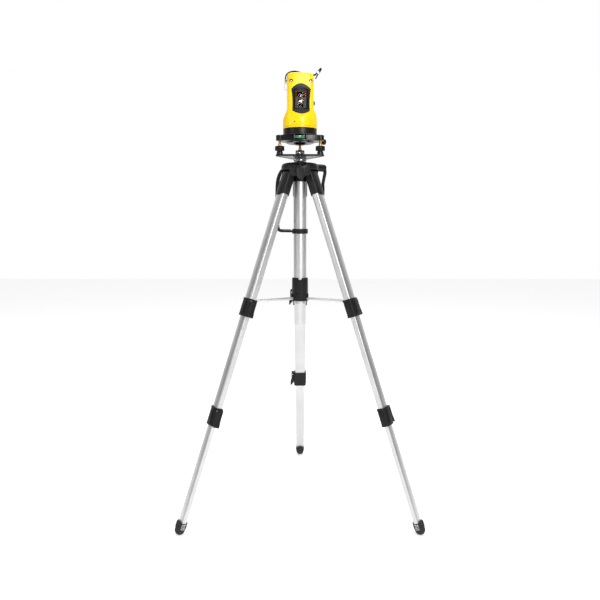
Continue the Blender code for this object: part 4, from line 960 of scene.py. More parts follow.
def laser_module(name, height, radius, face, lens, lens_finish):
    """A black barrel with four small screws round its face and a lens in the middle."""
    bm = lathe((
        (0, face + 0.0006), (radius * 0.30, face + 0.0006), (radius * 0.34, face), (radius * 0.92, face),
        (radius, face - 0.0006), (radius, face - 0.0042), (radius * 0.93, face - 0.0045),
        (radius * 0.93, 0.004), (0, 0.004),
    ), 56)
    for x, y in arc((0, 0), radius * 0.72, 45, 315, 3):
        bump = lathe((
            (0, face + 0.0003), (0.0007, face + 0.0003), (0.0009, face), (0.0009, face - 0.001),
        ), 16)
        bump.transform(Matrix.Translation((x, y, 0)))
        add(bm, bump)
    if radius > 0.007:
        for rise in (0.0004, -0.0050):
            add(bm, block((0.0030, 0.0014, 0.0020), (radius + 0.0008, rise, face - 0.0022), 0.0003))
    facing(bm)
    bm.transform(Matrix.Translation((0, 0, height)))
    piece(name, bm, DARK_PARTS, "pendulum_block", HEAD)
    glass = lathe(((0, 0.0004), (0.6, 0.0003), (0.9, 0.0001), (1.0, -0.0004)), 32)
    bmesh.ops.scale(glass, vec=(lens[0], lens[1], 1), verts=glass.verts)
    glass.transform(Matrix.Translation((0, 0, face + 0.0007)))
    facing(glass)
    glass.transform(Matrix.Translation((0, 0, height)))
    piece(f"{name}_lens", glass, lens_finish, "pendulum_block", HEAD)


laser_module("upper_module", 0.981, 0.0078, 0.0150, (0.0008, 0.0017), LENS_PAINTED_GLINT)
laser_module("lower_module", 0.963, 0.0058, 0.0150, (0.0006, 0.0006), LENS_VIOLET)
board = block((0.0072, 0.0010, 0.0100), (0.0016, -0.0098, 0.9722), 0.0002, 1)
piece("module_bridge", board, PIN_STEEL, "pendulum_block", HEAD)

# ---- Cap, drum and switch --------------------------------------------------------
# The round cap is sunk in the housing's top. The drum under the housing is a
# plain turned moulding with a bevelled foot; its spigot turns in the base. The
# three-sided switch knob rocks on the right and locks the pendulum.
SATIN_BLACK = moulded("satin_black", 0.005, 0.34, 1800.0, 0.00004, 0.3)
low, high = span("top_cap")
cap = lathe((
    (0, high - 0.0002), (0.0080, high - 0.0002), (0.0093, high - 0.0006), (0.0099, high - 0.0012),
    (0.0190, high - 0.0012), (0.0196, high - 0.0009), (0.0205, high - 0.0009), (0.0214, high - 0.0016),
    (0.0215, high - 0.0022), (0.0215, low), (0, low),
), 96)
piece("sunk_cap", cap, BLACK, "laser", HEAD, ("top_cap",))

low, high = span("base_ring")
drum_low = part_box("degree_dial")[1].z + 0.0003
drum = lathe((
    (0, drum_low + 0.004), (0.0355, drum_low + 0.004), (0.0355, high - 0.0003), (0.0358, high),
    (0.0386, high), (0.0390, high - 0.0005), (0.0390, drum_low + 0.0030), (0.0386, drum_low + 0.0026),
    (0.0386, drum_low + 0.0018), (0.0390, drum_low + 0.0014), (0.0390, drum_low + 0.0004),
    (0.0386, drum_low), (0.0140, drum_low), (0.0140, low), (0, low),
), 128)
piece("turning_drum", drum, SATIN_BLACK, "laser", HEAD, ("base_ring",), 30)


def rounded_triangle(reach, corner):
    points = []
    for azimuth in (0, 120, 240):
        centre = (reach * math.cos(math.radians(azimuth)), reach * math.sin(math.radians(azimuth)))
        points += arc(centre, corner, azimuth - 60, azimuth + 60, 8)
    return points


SWITCH = axes(JOINTS["switch_turn"]["pos_m"], HEAD.col[1].to_3d(), JOINTS["switch_turn"]["axis"])
knob = ring_stack([
    [(x, y, 0.0004) for x, y in rounded_triangle(0.0042, 0.0016)],
    [(x, y, 0.0006) for x, y in rounded_triangle(0.0042, 0.0018)],
    [(x, y, 0.0022) for x, y in rounded_triangle(0.0040, 0.0017)],
    [(x, y, 0.0040) for x, y in rounded_triangle(0.0022, 0.0013)],
    [(x, y, 0.0044) for x, y in rounded_triangle(0.0014, 0.0008)],
])
capped(knob)
add(knob, lathe(((0, 0.0006), (0.0043, 0.0006), (0.0043, -0.0032), (0, -0.0032)), 40))
piece("pendulum_switch", knob, BLACK, "switch", SWITCH, ("switch_knob",))

# ---- Battery hatch ----------------------------------------------------------------
# A plain yellow door in the housing's back, with a finger recess and three
# raised grip bars; three cells lie behind it.
def battery_sleeve():
    finish = Finish("battery_sleeve", 0.35)
    finish.colour(finish.noise(30.0), (0.05, 0.07, 0.10), (0.09, 0.11, 0.15))
    return finish.material


CELL = battery_sleeve()
middle = (hatch_low.z + hatch_high.z) / 2
door = block((0.0356, 0.0022, 0.0496), (0, 0.0272, middle), 0.0006)
door = worked(door, 0.0, (block((0.014, 0.003, 0.007), (0, 0.0295, hatch_high.z - 0.0065), 0.0012),))
for step in range(3):
    add(door, block((0.020, 0.0008, 0.0013), (0, 0.0282, hatch_high.z - 0.0135 - 0.003 * step), 0.0003))
add(door, block((0.008, 0.0012, 0.004), (0, 0.0262, hatch_high.z + 0.0005), 0.0003))
piece("battery_door", door, YELLOW, "battery_hatch", HEAD, ("battery_cover",), 30)
for number, x in enumerate((-0.0115, 0.0, 0.0115)):
    cell = lathe((
        (0, 0.0), (0.0052, 0.0), (0.0055, 0.0004), (0.0055, 0.0435), (0.0050, 0.0440),
        (0.0020, 0.0440), (0.0019, 0.0450), (0, 0.0450),
    ), 40)
    cell.transform(Matrix.Translation((x, 0.0190, hatch_low.z + 0.002)))
    piece(f"battery_{number + 1}", cell, CELL, "laser", HEAD)

# ---- Levelling base -----------------------------------------------------------
# A three-armed gloss-black casting on three brass screws, with a deeper belly,
# a hooked seat for the spirit tube in front and a printed circle of degrees.
GLOSS = moulded("gloss_black", 0.004, 0.22, 300.0, 0.00004, 0.32)
def white_print():
    finish = Finish("white_print", 0.55)
    finish.colour(finish.noise(300.0), (0.42, 0.42, 0.42), (0.62, 0.62, 0.6))
    return finish.material


PRINT = white_print()
ARM_REACH = 0.0535
CORNERS = (90, 210, 330)


def three_arms(reach, corner, waist, count=14):
    """Outline with three round arms and hollow sides between them."""
    points = []
    for azimuth in CORNERS:
        centre = (reach * math.cos(math.radians(azimuth)), reach * math.sin(math.radians(azimuth)))
        points += arc(centre, corner, azimuth - 78, azimuth + 78, count)
        middle = math.radians(azimuth + 60)
        for step in range(-5, 6):
            offset = 0.09 * waist * step
            deep = waist + 0.004 * (step / 5) ** 2
            points.append((
                deep * math.cos(middle) - offset * math.sin(middle),
                deep * math.sin(middle) + offset * math.cos(middle),
            ))
    return points


low, high = span("tribrach")
low += 0.003
dial_low, dial_high = span("degree_dial")
bore = prism(circle(0.0141, count=64), low - 0.02, high + 0.01)
arms = ring_stack([
    [(x, y, z) for x, y in three_arms(ARM_REACH, 0.0085 - inset, 0.036 - inset)]
    for z, inset in ((low, 0.0012), (low + 0.0003, 0.0005), (low + 0.001, 0.0), (high - 0.0016, 0.0),
                     (high - 0.0006, 0.0003), (high - 0.0001, 0.0010), (high, 0.0018))
])
capped(arms)
sockets = []
for azimuth in CORNERS:
    hole = lathe((
        (0, low - 0.001), (0.0031, low - 0.001), (0.0031, high - 0.0012), (0.0036, high + 0.001),
        (0, high + 0.001),
    ), 40)
    hole.transform(turned_by(azimuth) @ Matrix.Translation((ARM_REACH, 0, 0)))
    sockets.append(hole)
arms = worked(arms, 0.0, (bore, *sockets))
belly = lathe((
    (0.0150, low - 0.0015), (0.0250, low - 0.0030), (0.0300, low - 0.0028), (0.0330, low - 0.0010),
    (0.0345, low + 0.002), (0.0345, low + 0.006), (0.0150, low + 0.006), (0.0150, low - 0.0015),
), 96)
add(arms, belly)
piece("three_armed_casting", arms, GLOSS, "levelling_head", STAND, ("tribrach",), 30)

seat = block((0.0330, 0.0130, 0.0042), (0, -0.0405, low - 0.0009), 0.0008)
add(seat, block((0.0330, 0.0090, 0.0140), (0, -0.0380, low + 0.0045), 0.0008))
for x, width, rise in ((-0.0137, 0.0052, 0.0), (0.0137, 0.0052, -0.0004)):
    add(seat, block((width, 0.0082, 0.0124 + rise), (x, -0.0430, low + 0.0056 + rise / 2), 0.0008))
add(seat, block((0.0040, 0.0016, 0.0034), (-0.0140, -0.0464, high - 0.0040), 0.0006))
piece("vial_seat", seat, GLOSS, "levelling_head", STAND)

low_vial, high_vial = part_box("tube_vial")
vial_at = Matrix.Translation((0, low_vial.y / 2 + high_vial.y / 2 - AXIS.y, (low_vial.z + high_vial.z) / 2))
def green_spirit():
    finish = Finish("green_spirit", 0.08, Coat_Weight=0.8, Coat_Roughness=0.04, IOR=1.5)
    finish.colour(finish.noise(180.0), (0.003, 0.13, 0.04), (0.008, 0.21, 0.07))
    return finish.material


GREEN = green_spirit()
tube = lying(lathe((
    (0, -0.0107), (0.0026, -0.0107), (0.0031, -0.0101), (0.0031, 0.0101), (0.0026, 0.0107), (0, 0.0107),
), 48), (1, 0, 0))
piece("spirit_tube", tube, GREEN, "levelling_head", STAND @ vial_at, ("tube_vial",))
marks = bmesh.new()
for x in (-0.0066, -0.0052, 0.0044, 0.0058):
    add(marks, lying(lathe((
        (0.00306, x - 0.00012), (0.00318, x - 0.00012), (0.00318, x + 0.00012), (0.00306, x + 0.00012),
        (0.00306, x - 0.00012),
    ), 48), (1, 0, 0)))
piece("vial_marks", marks, SATIN_BLACK, "levelling_head", STAND @ vial_at)
def vial_bubble():
    finish = Finish("vial_bubble", 0.06, Coat_Weight=1.0)
    finish.colour(finish.noise(300.0), (0.45, 0.70, 0.48), (0.75, 0.88, 0.72))
    return finish.material


BUBBLE = vial_bubble()
bubble = bmesh.new()
bmesh.ops.create_uvsphere(bubble, u_segments=32, v_segments=16, radius=1.0)
bmesh.ops.scale(bubble, vec=(0.0030, 0.0009, 0.0012), verts=bubble.verts)
bubble.transform(Matrix.Translation((-0.0004, -0.0024, 0.0016)))
piece("vial_bubble", bubble, BUBBLE, "levelling_head", STAND @ vial_at)

dial = lathe((
    (0.0143, dial_low), (0.0456, dial_low), (0.0460, dial_low + 0.0004), (0.0460, dial_high - 0.0005),
    (0.0455, dial_high), (0.0143, dial_high), (0.0143, dial_low),
), 144)
piece("degree_ring", dial, GLOSS, "levelling_head", STAND, ("degree_dial",))
ticks = bmesh.new()
for number in range(120):
    length = 0.0030 if number % 10 == 0 else 0.0022 if number % 5 == 0 else 0.0014
    tick = block((length, 0.00030, 0.00012), (0.0453 - length / 2, 0, dial_high + 0.00004))
    tick.transform(turned_by(3 * number))
    add(ticks, tick)


def numeral(text, height):
    """Flat numbers as a mesh, centred."""
    curve = bpy.data.curves.new("numeral", "FONT")
    curve.body = text
    curve.size = height
    curve.align_x = "CENTER"
    curve.resolution_u = 2
    made = bpy.data.objects.new("numeral", curve)
    bpy.context.scene.collection.objects.link(made)
    flat = bpy.data.meshes.new_from_object(made.evaluated_get(bpy.context.evaluated_depsgraph_get()))
    bm = bmesh.new()
    bm.from_mesh(flat)
    bpy.data.meshes.remove(flat)
    bpy.data.objects.remove(made)
    return bm


for number in range(12):
    label = numeral(str(30 * number), 0.0022)
    label.transform(
        turned_by(30 * number)
        @ Matrix.Translation((0.0405, 0, dial_high + 0.00008)) @ Matrix.Rotation(math.pi / 2, 4, "Z")
    )
    add(ticks, label)
piece("degree_marks", ticks, PRINT, "levelling_head", STAND)

CLAMP_SCREW = axes(JOINTS["clamp_screw_turn"]["pos_m"], (0, 0, 1), JOINTS["clamp_screw_turn"]["axis"])
thumb = []
for z, out in (
    (0.0, -0.0010), (0.0004, -0.0003), (0.0012, 0.0), (0.0085, 0.0), (0.0094, -0.0003), (0.0099, -0.0012),
):
    ring = []
    for step in range(96):
        turn = 2 * math.pi * step / 96
        reach = 0.0064 + out + 0.0002 * math.cos(24 * turn)
        ring.append((reach * math.cos(turn), reach * math.sin(turn), z))
    thumb.append(ring)
thumb = ring_stack(thumb)
capped(thumb)
add(thumb, lathe(((0, 0.0005), (0.0028, 0.0005), (0.0028, -0.018), (0, -0.018)), 32))
piece("clamp_thumbscrew", thumb, BLACK, "clamp_screw", CLAMP_SCREW, ("clamp_knob",))

# ---- Levelling screws ----------------------------------------------------------
# Brass screws with a threaded stem and a stepped collar; each turns in a black
# knurled plastic knob pressed on it.
def knurled(radius, low, high, teeth, depth):
    """A short cylinder with square teeth round it and softened rims."""
    rings = []
    for z, out in (
        (low, -0.0010), (low + 0.0002, -0.0005), (low + 0.0008, 0.0), (high - 0.0010, 0.0),
        (high - 0.0003, -0.0004), (high, -0.0010),
    ):
        ring = []
        for step in range(teeth * 4):
            reach = radius + out - (depth if step % 4 in (0, 1) else 0.0)
            turn = 2 * math.pi * (step + (0.25 if step % 2 else -0.25)) / (teeth * 4)
            ring.append((reach * math.cos(turn), reach * math.sin(turn), z))
        rings.append(ring)
    return capped(ring_stack(rings))


for number in (1, 2, 3):
    hinge = JOINTS[f"level_screw_{number}_turn"]
    at = Matrix.Translation((hinge["pos_m"][0], hinge["pos_m"][1], 0))
    low, high = span(f"level_screw_{number}")
    body = f"level_screw_{number}"
    knob_low = hinge["pos_m"][2]
    knob_high = knob_low + 0.010
    stem = [(0, low), (0.0024, low), (0.0028, low + 0.0006)]
    stem += [(0.0028, knob_low + 0.001), (0.0028, knob_high)]
    stem += [(0.0041, knob_high + 0.0002), (0.0042, knob_high + 0.0006), (0.0042, knob_high + 0.0022),
             (0.0036, knob_high + 0.0026), (0.0036, knob_high + 0.0029), (0.0041, knob_high + 0.0032),
             (0.0041, knob_high + 0.0044), (0.0034, knob_high + 0.0054), (0.0029, knob_high + 0.0060)]
    height = knob_high + 0.0062
    while height < high - 0.001:
        stem += [(0.0026, height), (0.0029, height + 0.00022), (0.0026, height + 0.00044)]
        height += 0.0005
    stem += [(0.0022, high), (0, high)]
    piece(f"screw_stem_{number}", lathe(stem, 40), BRASS, body, at, (f"level_screw_{number}",), 30)
    knob = knurled(0.0107, knob_low, knob_high, 44, 0.00035)
    add(knob, lathe(((0, knob_low - 0.0016), (0.0058, knob_low - 0.0016), (0.0062, knob_low - 0.0012),
                     (0.0062, knob_low + 0.001), (0, knob_low + 0.001)), 48))
    piece(f"screw_knob_{number}", knob, BLACK, body, at, (), 30)

# ---- Base plate and column ------------------------------------------------------
# The pressed plate has a rolled rim and a stout post at each corner. A black
# cone washer and a chromed dome nut hold it on the column; a bright knurled
# disc lies under it.
low, high = span("base_plate")
plate_top = low + 0.0042


def plate_loop(corner):
    points = []
    for azimuth in CORNERS:
        centre = (ARM_REACH * math.cos(math.radians(azimuth)), ARM_REACH * math.sin(math.radians(azimuth)))
        points += arc(centre, corner, azimuth - 60, azimuth + 60, 16)
    return points


plate = ring_stack([
    [(x, y, z) for x, y in plate_loop(corner)]
    for corner, z in (
        (0.0020, low + 0.0006), (0.0066, low + 0.0006), (0.0074, low), (0.0088, low), (0.0094, low + 0.0005),
        (0.0095, low + 0.0014), (0.0094, low + 0.0020), (0.0090, low + 0.0026), (0.0092, low + 0.0032),
        (0.0090, low + 0.0039), (0.0084, plate_top), (0.0077, low + 0.0039), (0.0070, low + 0.0029),
        (0.0064, low + 0.0027), (0.0020, low + 0.0027),
    )
])
capped(plate)
for azimuth in CORNERS:
    post = lathe((
        (0, high), (0.0062, high), (0.0069, high - 0.0003), (0.00725, high - 0.0010), (0.00725, low + 0.0058),
        (0.0078, low + 0.0040), (0.0090, low + 0.0030), (0.0094, low + 0.0022), (0, low + 0.002),
    ), 56)
    post.transform(turned_by(azimuth) @ Matrix.Translation((ARM_REACH, 0, 0)))
    add(plate, post)
piece("pressed_plate", plate, GLOSS, "elevator", STAND, ("base_plate",), 32)

low, high = span("column")
tube = lathe((
    (0.0120, low), (0.0134, low), (0.0136, low + 0.0003), (0.0136, 0.8380), (0.0120, 0.8380), (0.0120, low),
), 72)
piece("lift_column", tube, ANODISED, "elevator", STAND, ("column",))
disc = knurled(0.0155, 0.8378, 0.8448, 60, 0.0003)
piece("bright_disc", disc, CHROME, "elevator", STAND, (), 30)
washer = lathe((
    (0, plate_top + 0.0003), (0.0126, plate_top + 0.0003), (0.0131, plate_top + 0.0007),
    (0.0129, plate_top + 0.0013), (0.0100, plate_top + 0.0040), (0.0092, plate_top + 0.0046),
    (0, plate_top + 0.0046),
), 80)
piece("cone_washer", washer, GLOSS, "elevator", STAND, ())
nut = lathe((
    (0, plate_top + 0.0100), (0.0030, plate_top + 0.0100), (0.0034, plate_top + 0.0117),
    (0.0044, plate_top + 0.0117), (0.0052, plate_top + 0.0108), (0.0074, plate_top + 0.0088),
    (0.0078, plate_top + 0.0078), (0.0078, plate_top + 0.0048), (0, plate_top + 0.0048),
), 72)
flats = []
for step in range(8):
    notch = block((0.003, 0.0030, 0.0032), (0.0088, 0, plate_top + 0.0066), 0.0003)
    notch.transform(turned_by(45 * step))
    flats.append(notch)
piece("dome_nut", worked(nut, 0.0, flats), CHROME, "elevator", STAND, (), 30)

# ---- Hub -----------------------------------------------------------------------
# The lower casting holds the three leg hinges and the fixed centre tube. The
# canopy over it has a soft lobe above each leg and a valley between them; in
# the front valley a cone carries the round spirit level.
HUB_BLACK = moulded("hub_plastic", 0.0055, 0.42, 1100.0, 0.00007, 0.26)


def lobed(radius, lobe, count=180):
    points = []
    for step in range(count):
        turn = 2 * math.pi * step / count
        reach = radius + lobe * math.cos(3 * (turn - math.pi / 2))
        points.append((reach * math.cos(turn), reach * math.sin(turn)))
    return points


low, high = span("hub_body")
body_low = 0.801
casting = ring_stack([
    [(x, y, z) for x, y in lobed(radius - 0.001, 0.001)]
    for z, radius in ((body_low, 0.0396), (body_low + 0.0004, 0.0402), (body_low + 0.0012, 0.0407),
                      (body_low + 0.0035, 0.0424), (0.8163, 0.0438), (0.8166, 0.0434))
])
capped(casting)
slots = [prism(circle(0.0141, count=64), body_low - 0.02, 0.84)]
for azimuth in SIDES.values():
    slot = block((0.060, 0.0366, 0.060), (0.048, 0, 0.807), 0.0008)
    slot.transform(turned_by(azimuth))
    slots.append(slot)
casting = worked(casting, 0.0, slots)
add(casting, lathe((
    (0.0153, low), (0.0176, low), (0.0183, low + 0.0007), (0.0183, low + 0.0125), (0.0190, body_low + 0.001),
    (0.0153, body_low + 0.001), (0.0153, low),
), 72))
arch = arc((0, 0.812), 0.0113, 0, 180, 24) + [(-0.0113, 0.8035)] + arc((-0.0083, 0.8035), 0.003, 180, 270, 4)
arch += arc((0.0083, 0.8035), 0.003, 270, 360, 4)
skirt = prism(arch, 0.0330, 0.0450, rounded=0.0007)
add(casting, facing(skirt))
piece("hub_casting", casting, HUB_BLACK, "stand", STAND, ("hub_body",), 32)


def canopy_ring(height, radius, dip, count=240):
    points = []
    for step in range(count):
        turn = 2 * math.pi * step / count
        reach = radius - 0.001 + 0.001 * math.cos(3 * (turn - math.pi / 2))
        valley = 0.0
        for azimuth in (270, 30, 150):
            off = (math.degrees(turn) - azimuth + 180) % 360 - 180
            valley += math.exp(-(off / 19) ** 2)
        reach -= 0.0018 * dip * valley
        points.append((reach * math.cos(turn), reach * math.sin(turn), height - 0.0052 * dip * valley))
    return points


seam, top = span("hub_cap")
canopy = ring_stack([canopy_ring(seam + z, radius, dip) for z, radius, dip in (
    (0.0040, 0.0415, 0.0), (0.0004, 0.0418, 0.0), (0.0, 0.0434, 0.0), (0.0002, 0.0440, 0.0),
    (0.0008, 0.0444, 0.0), (0.0050, 0.0445, 0.15),
    (0.0085, 0.0442, 0.35), (0.0110, 0.0434, 0.6), (0.0130, 0.0422, 0.85), (0.0143, 0.0405, 1.0),
    (0.0152, 0.0382, 1.0), (0.0159, 0.0350, 0.98), (0.0164, 0.0315, 0.9), (0.0168, 0.0280, 0.75),
    (0.0172, 0.0245, 0.5), (0.0176, 0.0215, 0.25), (0.0180, 0.0195, 0.05), (0.0184, 0.0180, 0.0),
    (0.0185, 0.0172, 0.0), (0.0185, 0.0142, 0.0), (0.0040, 0.0142, 0.0),
)])
cone = ring_stack([
    [(x, y - y_shift, z) for x, y in circle(radius, count=48)]
    for z, radius, y_shift in (
        (0.8215, 0.0006, 0.0425), (0.8240, 0.0026, 0.0402), (0.8290, 0.0058, 0.0345),
        (0.8325, 0.0074, 0.0306), (0.8340, 0.0077, 0.0300), (0.8345, 0.0076, 0.0300),
        (0.8347, 0.0071, 0.0300), (0.8345, 0.0066, 0.0300), (0.8300, 0.0066, 0.0300),
    )
])
capped(cone)
add(canopy, cone)
SHAFT_HEIGHT = 0.8245
shaft_at = turned_by(30)
barrel = lathe((
    (0, 0.0330), (0.0085, 0.0330), (0.0085, 0.0560), (0.0082, 0.0564), (0.0082, 0.0570), (0.0085, 0.0574),
    (0.0085, 0.0630), (0.0078, 0.0637), (0, 0.0637),
), 56)
lying(barrel, (1, 0, 0)).transform(Matrix.Translation((0, 0, SHAFT_HEIGHT)))
barrel.transform(shaft_at)
add(canopy, barrel)
piece("hub_canopy", canopy, HUB_BLACK, "stand", STAND, ("hub_cap",), 34)

def lime_spirit():
    finish = Finish("lime_spirit", 0.07, Coat_Weight=0.8, Coat_Roughness=0.03)
    finish.colour(finish.noise(240.0), (0.13, 0.27, 0.02), (0.22, 0.36, 0.04))
    return finish.material


LIME = lime_spirit()
low, high = span("bullseye_vial")
level = lathe((
    (0, high), (0.0052, high - 0.0001), (0.0060, high - 0.0005), (0.0064, high - 0.0012),
    (0.0064, low), (0, low),
), 56)
BULLSEYE = STAND @ Matrix.Translation((0, -0.030, 0))
piece("round_level", level, LIME, "stand", BULLSEYE, ("bullseye_vial",))
circle_mark = lathe((
    (0.0026, high), (0.0029, high), (0.0029, high + 0.00008), (0.0026, high + 0.00008), (0.0026, high),
), 48)
piece("round_level_mark", circle_mark, SATIN_BLACK, "stand", BULLSEYE)

for number, side in enumerate(("right", "rear", "left")):
    hinge = JOINTS[f"{side}_leg_fold"]
    outward = -Vector(hinge["axis"])
    place = Vector(hinge["pos_m"]) + outward * 0.0203 + Vector((0, 0, 0.004))
    bolt = lathe(((0, 0.0020), (0.0008, 0.0020), (0.0010, 0.0014), (0.0026, 0.0014), (0.0030, 0.0010),
                  (0.0030, 0.0), (0.0038, 0.0), (0.0038, 0.0022), (0.0046, 0.0024), (0.0048, 0.0020),
                  (0.0048, -0.0020), (0, -0.0020)), 40)
    at = axes(place, (0, 0, 1), outward)
    piece(f"hinge_bolt_{number + 1}", bolt, GLOSS, "stand", at)

# ---- Lock wing, crank and carrying handle -----------------------------------------
# The oval wing has a raised rim and a groove down its middle. The crank folds
# flat along the hub with its ribbed grip turned inwards; the handle is one
# bent bar from the canopy down to a ring on the centre tube.
WING = axes(JOINTS["column_lock_turn"]["pos_m"], (1, 0, 0), (0, -1, 0))


def capsule(half, reach, count=20):
    return arc((0, 0), half, 0, 180, count) + arc((0, -reach), half, 180, 360, count)


wing = ring_stack([
    [(x, y, z) for x, y in capsule(half, 0.0095)]
    for half, z in ((0.0080, -0.0024), (0.0090, -0.0020), (0.0095, -0.0010), (0.0095, 0.0016),
                    (0.0091, 0.0024), (0.0085, 0.0026), (0.0079, 0.0022), (0.0070, 0.0021))
])
capped(wing)
wing = worked(wing, 0.0, (block((0.0012, 0.0230, 0.0016), (0, -0.0045, 0.0024), 0.0003),))
wing.transform(turned_by(12))
add(wing, lathe(((0, -0.0040), (0.0050, -0.0040), (0.0050, -0.0018), (0, -0.0018)), 40))
piece("oval_wing", wing, HUB_BLACK, "column_lock", WING, ("lock_wing",), 34)

CRANK = axes(JOINTS["crank_turn"]["pos_m"], (0, 0, 1), JOINTS["crank_turn"]["axis"])


def smooth_path(points, count=8):
    """Points along a soft curve through the given ones."""
    path = []
    spots = [Vector(p) for p in points]
    spots = [spots[0] * 2 - spots[1], *spots, spots[-1] * 2 - spots[-2]]
    for a, b, c, d in zip(spots, spots[1:], spots[2:], spots[3:]):
        for step in range(count):
            t = step / count
            path.append(0.5 * (2 * b + (c - a) * t + (2 * a - 5 * b + 4 * c - d) * t * t
                               + (3 * b - a - 3 * c + d) * t ** 3))
    path.append(spots[-2])
    return path


def bar(route, section, side=(0, 1, 0)):
    """A bar of one section bent along a route; the section's X stays square to the side given."""
    side = Vector(side)
    rings = []
    for number, point in enumerate(route):
        before, after = route[max(number - 1, 0)], route[min(number + 1, len(route) - 1)]
        along_it = (after - before).normalized()
        out = side.cross(along_it).normalized()
        rings.append([tuple(point + out * x + side * y) for x, y in section(number / (len(route) - 1))])
    return capped(ring_stack(rings))


def soft_box(width, depth, corner, count=4):
    half_x, half_y = width / 2 - corner, depth / 2 - corner
    points = arc((half_x, half_y), corner, 0, 90, count)
    points += arc((-half_x, half_y), corner, 90, 180, count)
    points += arc((-half_x, -half_y), corner, 180, 270, count)
    points += arc((half_x, -half_y), corner, 270, 360, count)
    return points


arm_route = smooth_path([(0.0667, 0, 0.8290), (0.0675, 0, 0.8240), (0.0690, 0, 0.8140), (0.0660, 0, 0.8000),
                         (0.0635, 0, 0.7870), (0.0640, 0, 0.7720), (0.0632, 0, 0.7590)])
arm = bar(arm_route, lambda share: soft_box(0.0046, 0.0094 - 0.0014 * share, 0.0009))
arm.transform(shaft_at)
cheek = lying(lathe(((0, 0.0643), (0.0072, 0.0643), (0.0078, 0.0650), (0.0078, 0.0682), (0.0070, 0.0689),
                     (0.0022, 0.0689), (0.0020, 0.0681), (0, 0.0681)), 56), (1, 0, 0))
cheek.transform(shaft_at @ Matrix.Translation((0, 0, SHAFT_HEIGHT)))
add(arm, cheek)
piece("crank_lever", arm, BLACK, "crank", STAND, ("crank_arm",), 34)

GRIP = axes(JOINTS["crank_knob_spin"]["pos_m"], (0, 0, 1), JOINTS["crank_knob_spin"]["axis"])
grip_rings = []
for z, out in ((0.0164, -0.0018), (0.0162, -0.0012), (0.0130, -0.0010), (0.0110, 0.0), (-0.0060, 0.0),
               (-0.0080, -0.0004), (-0.0090, -0.0012), (-0.0094, -0.0024)):
    ring = []
    for step in range(120):
        turn = 2 * math.pi * step / 120
        rib = 0.0007 * (0.5 + 0.5 * math.cos(10 * turn)) ** 0.6 if -0.008 < z < 0.012 else 0.0
        reach = 0.0061 + out + rib
        ring.append((reach * math.cos(turn), reach * math.sin(turn), z))
    grip_rings.append(ring)
grip = ring_stack(grip_rings)
capped(grip)
piece("crank_ribbed_grip", grip, BLACK, "crank_knob", GRIP, ("crank_grip",), 40)

handle_at = turned_by(150)
handle_route = smooth_path([
    (0.0435, 0, 0.8190), (0.0500, 0, 0.8170), (0.0570, 0, 0.8070), (0.0615, 0, 0.7930), (0.0632, 0, 0.7740),
    (0.0632, 0, 0.7500), (0.0632, 0, 0.7100), (0.0628, 0, 0.6900), (0.0600, 0, 0.6795), (0.0520, 0, 0.6755),
    (0.0400, 0, 0.6750), (0.0170, 0, 0.6750),
], 7)
handle = bar(
    handle_route,
    lambda share: soft_box(0.0056 + 0.0026 * max(0.12 - share, 0) / 0.12, 0.0098, 0.0016),
)
add(handle, block((0.030, 0.0024, 0.0016), (0.041, 0, 0.6790), 0.0005))
handle.transform(handle_at)
add(handle, lathe((
    (0.0155, 0.6695), (0.0182, 0.6695), (0.0187, 0.6700), (0.0187, 0.6800), (0.0182, 0.6805),
    (0.0155, 0.6805), (0.0155, 0.6695),
), 72))
piece("carrying_bar", handle, BLACK, "stand", STAND, ("carry_handle",), 34)

low, high = span("centre_tube")
fixed = lathe((
    (0.0139, low), (0.0150, low), (0.0152, low + 0.0002), (0.0152, high), (0.0139, high), (0.0139, low),
), 96)
piece("fixed_centre_tube", fixed, ANODISED, "stand", STAND, ("centre_tube",))

# ---- Leg sockets ---------------------------------------------------------------
# Long black castings the upper tubes are pushed into: round shoulders on the
# hinge, two grooves down the outer face and a scooped lower edge.
SCOOP = 0.005


def socket_ring(width, depth, z, scoop=0.0):
    return [(x, y, z + scoop * (2 * x / width) ** 2) for x, y in tube_section(width, depth, 30)]


for side in SIDES:
    low, high = along(side, f"{side}_leg_socket")
    wide, deep = LEG_WIDTH + 0.0036, LEG_DEPTH + 0.0036
    stations = []
    for z, trim in ((0.0118, 0.0080), (0.0112, 0.0056), (0.0095, 0.0032), (0.0060, 0.0012), (0.0010, 0.0002),
                    (-0.0060, 0.0), (-0.0300, 0.0)):
        stations.append(socket_ring(wide - trim * 0.7, deep - 2 * trim, z))
    for trim, rise in ((0.0, 0.0010), (0.0006, 0.0003), (0.0016, 0.0)):
        stations.append(socket_ring(wide - trim, deep - trim, low + rise, SCOOP))
    bore_wide, bore_deep = LEG_WIDTH + 0.0006, LEG_DEPTH + 0.0006
    stations.append(socket_ring(bore_wide, bore_deep, low + 0.0002, SCOOP))
    stations.append(socket_ring(bore_wide, bore_deep, low + 0.012))
    sleeve = ring_stack(stations)
    capped(sleeve)
    grooves = [
        block((0.0014, 0.0022, 0.026), (x, deep / 2 - 0.0004, -0.0290), 0.0006) for x in (-0.0058, 0.0058)
    ]
    sleeve = worked(sleeve, 0.0, grooves)
    knuckle = lying(lathe(((0, -0.0110), (0.0094, -0.0110), (0.0100, -0.0104), (0.0100, 0.0104),
                           (0.0094, 0.0110), (0, 0.0110)), 56), (1, 0, 0))
    add(sleeve, knuckle)
    piece(
        f"{side}_socket", sleeve, HUB_BLACK, f"{side}_leg", leg_frame(side),
        (f"{side}_leg_socket",), 34,
    )

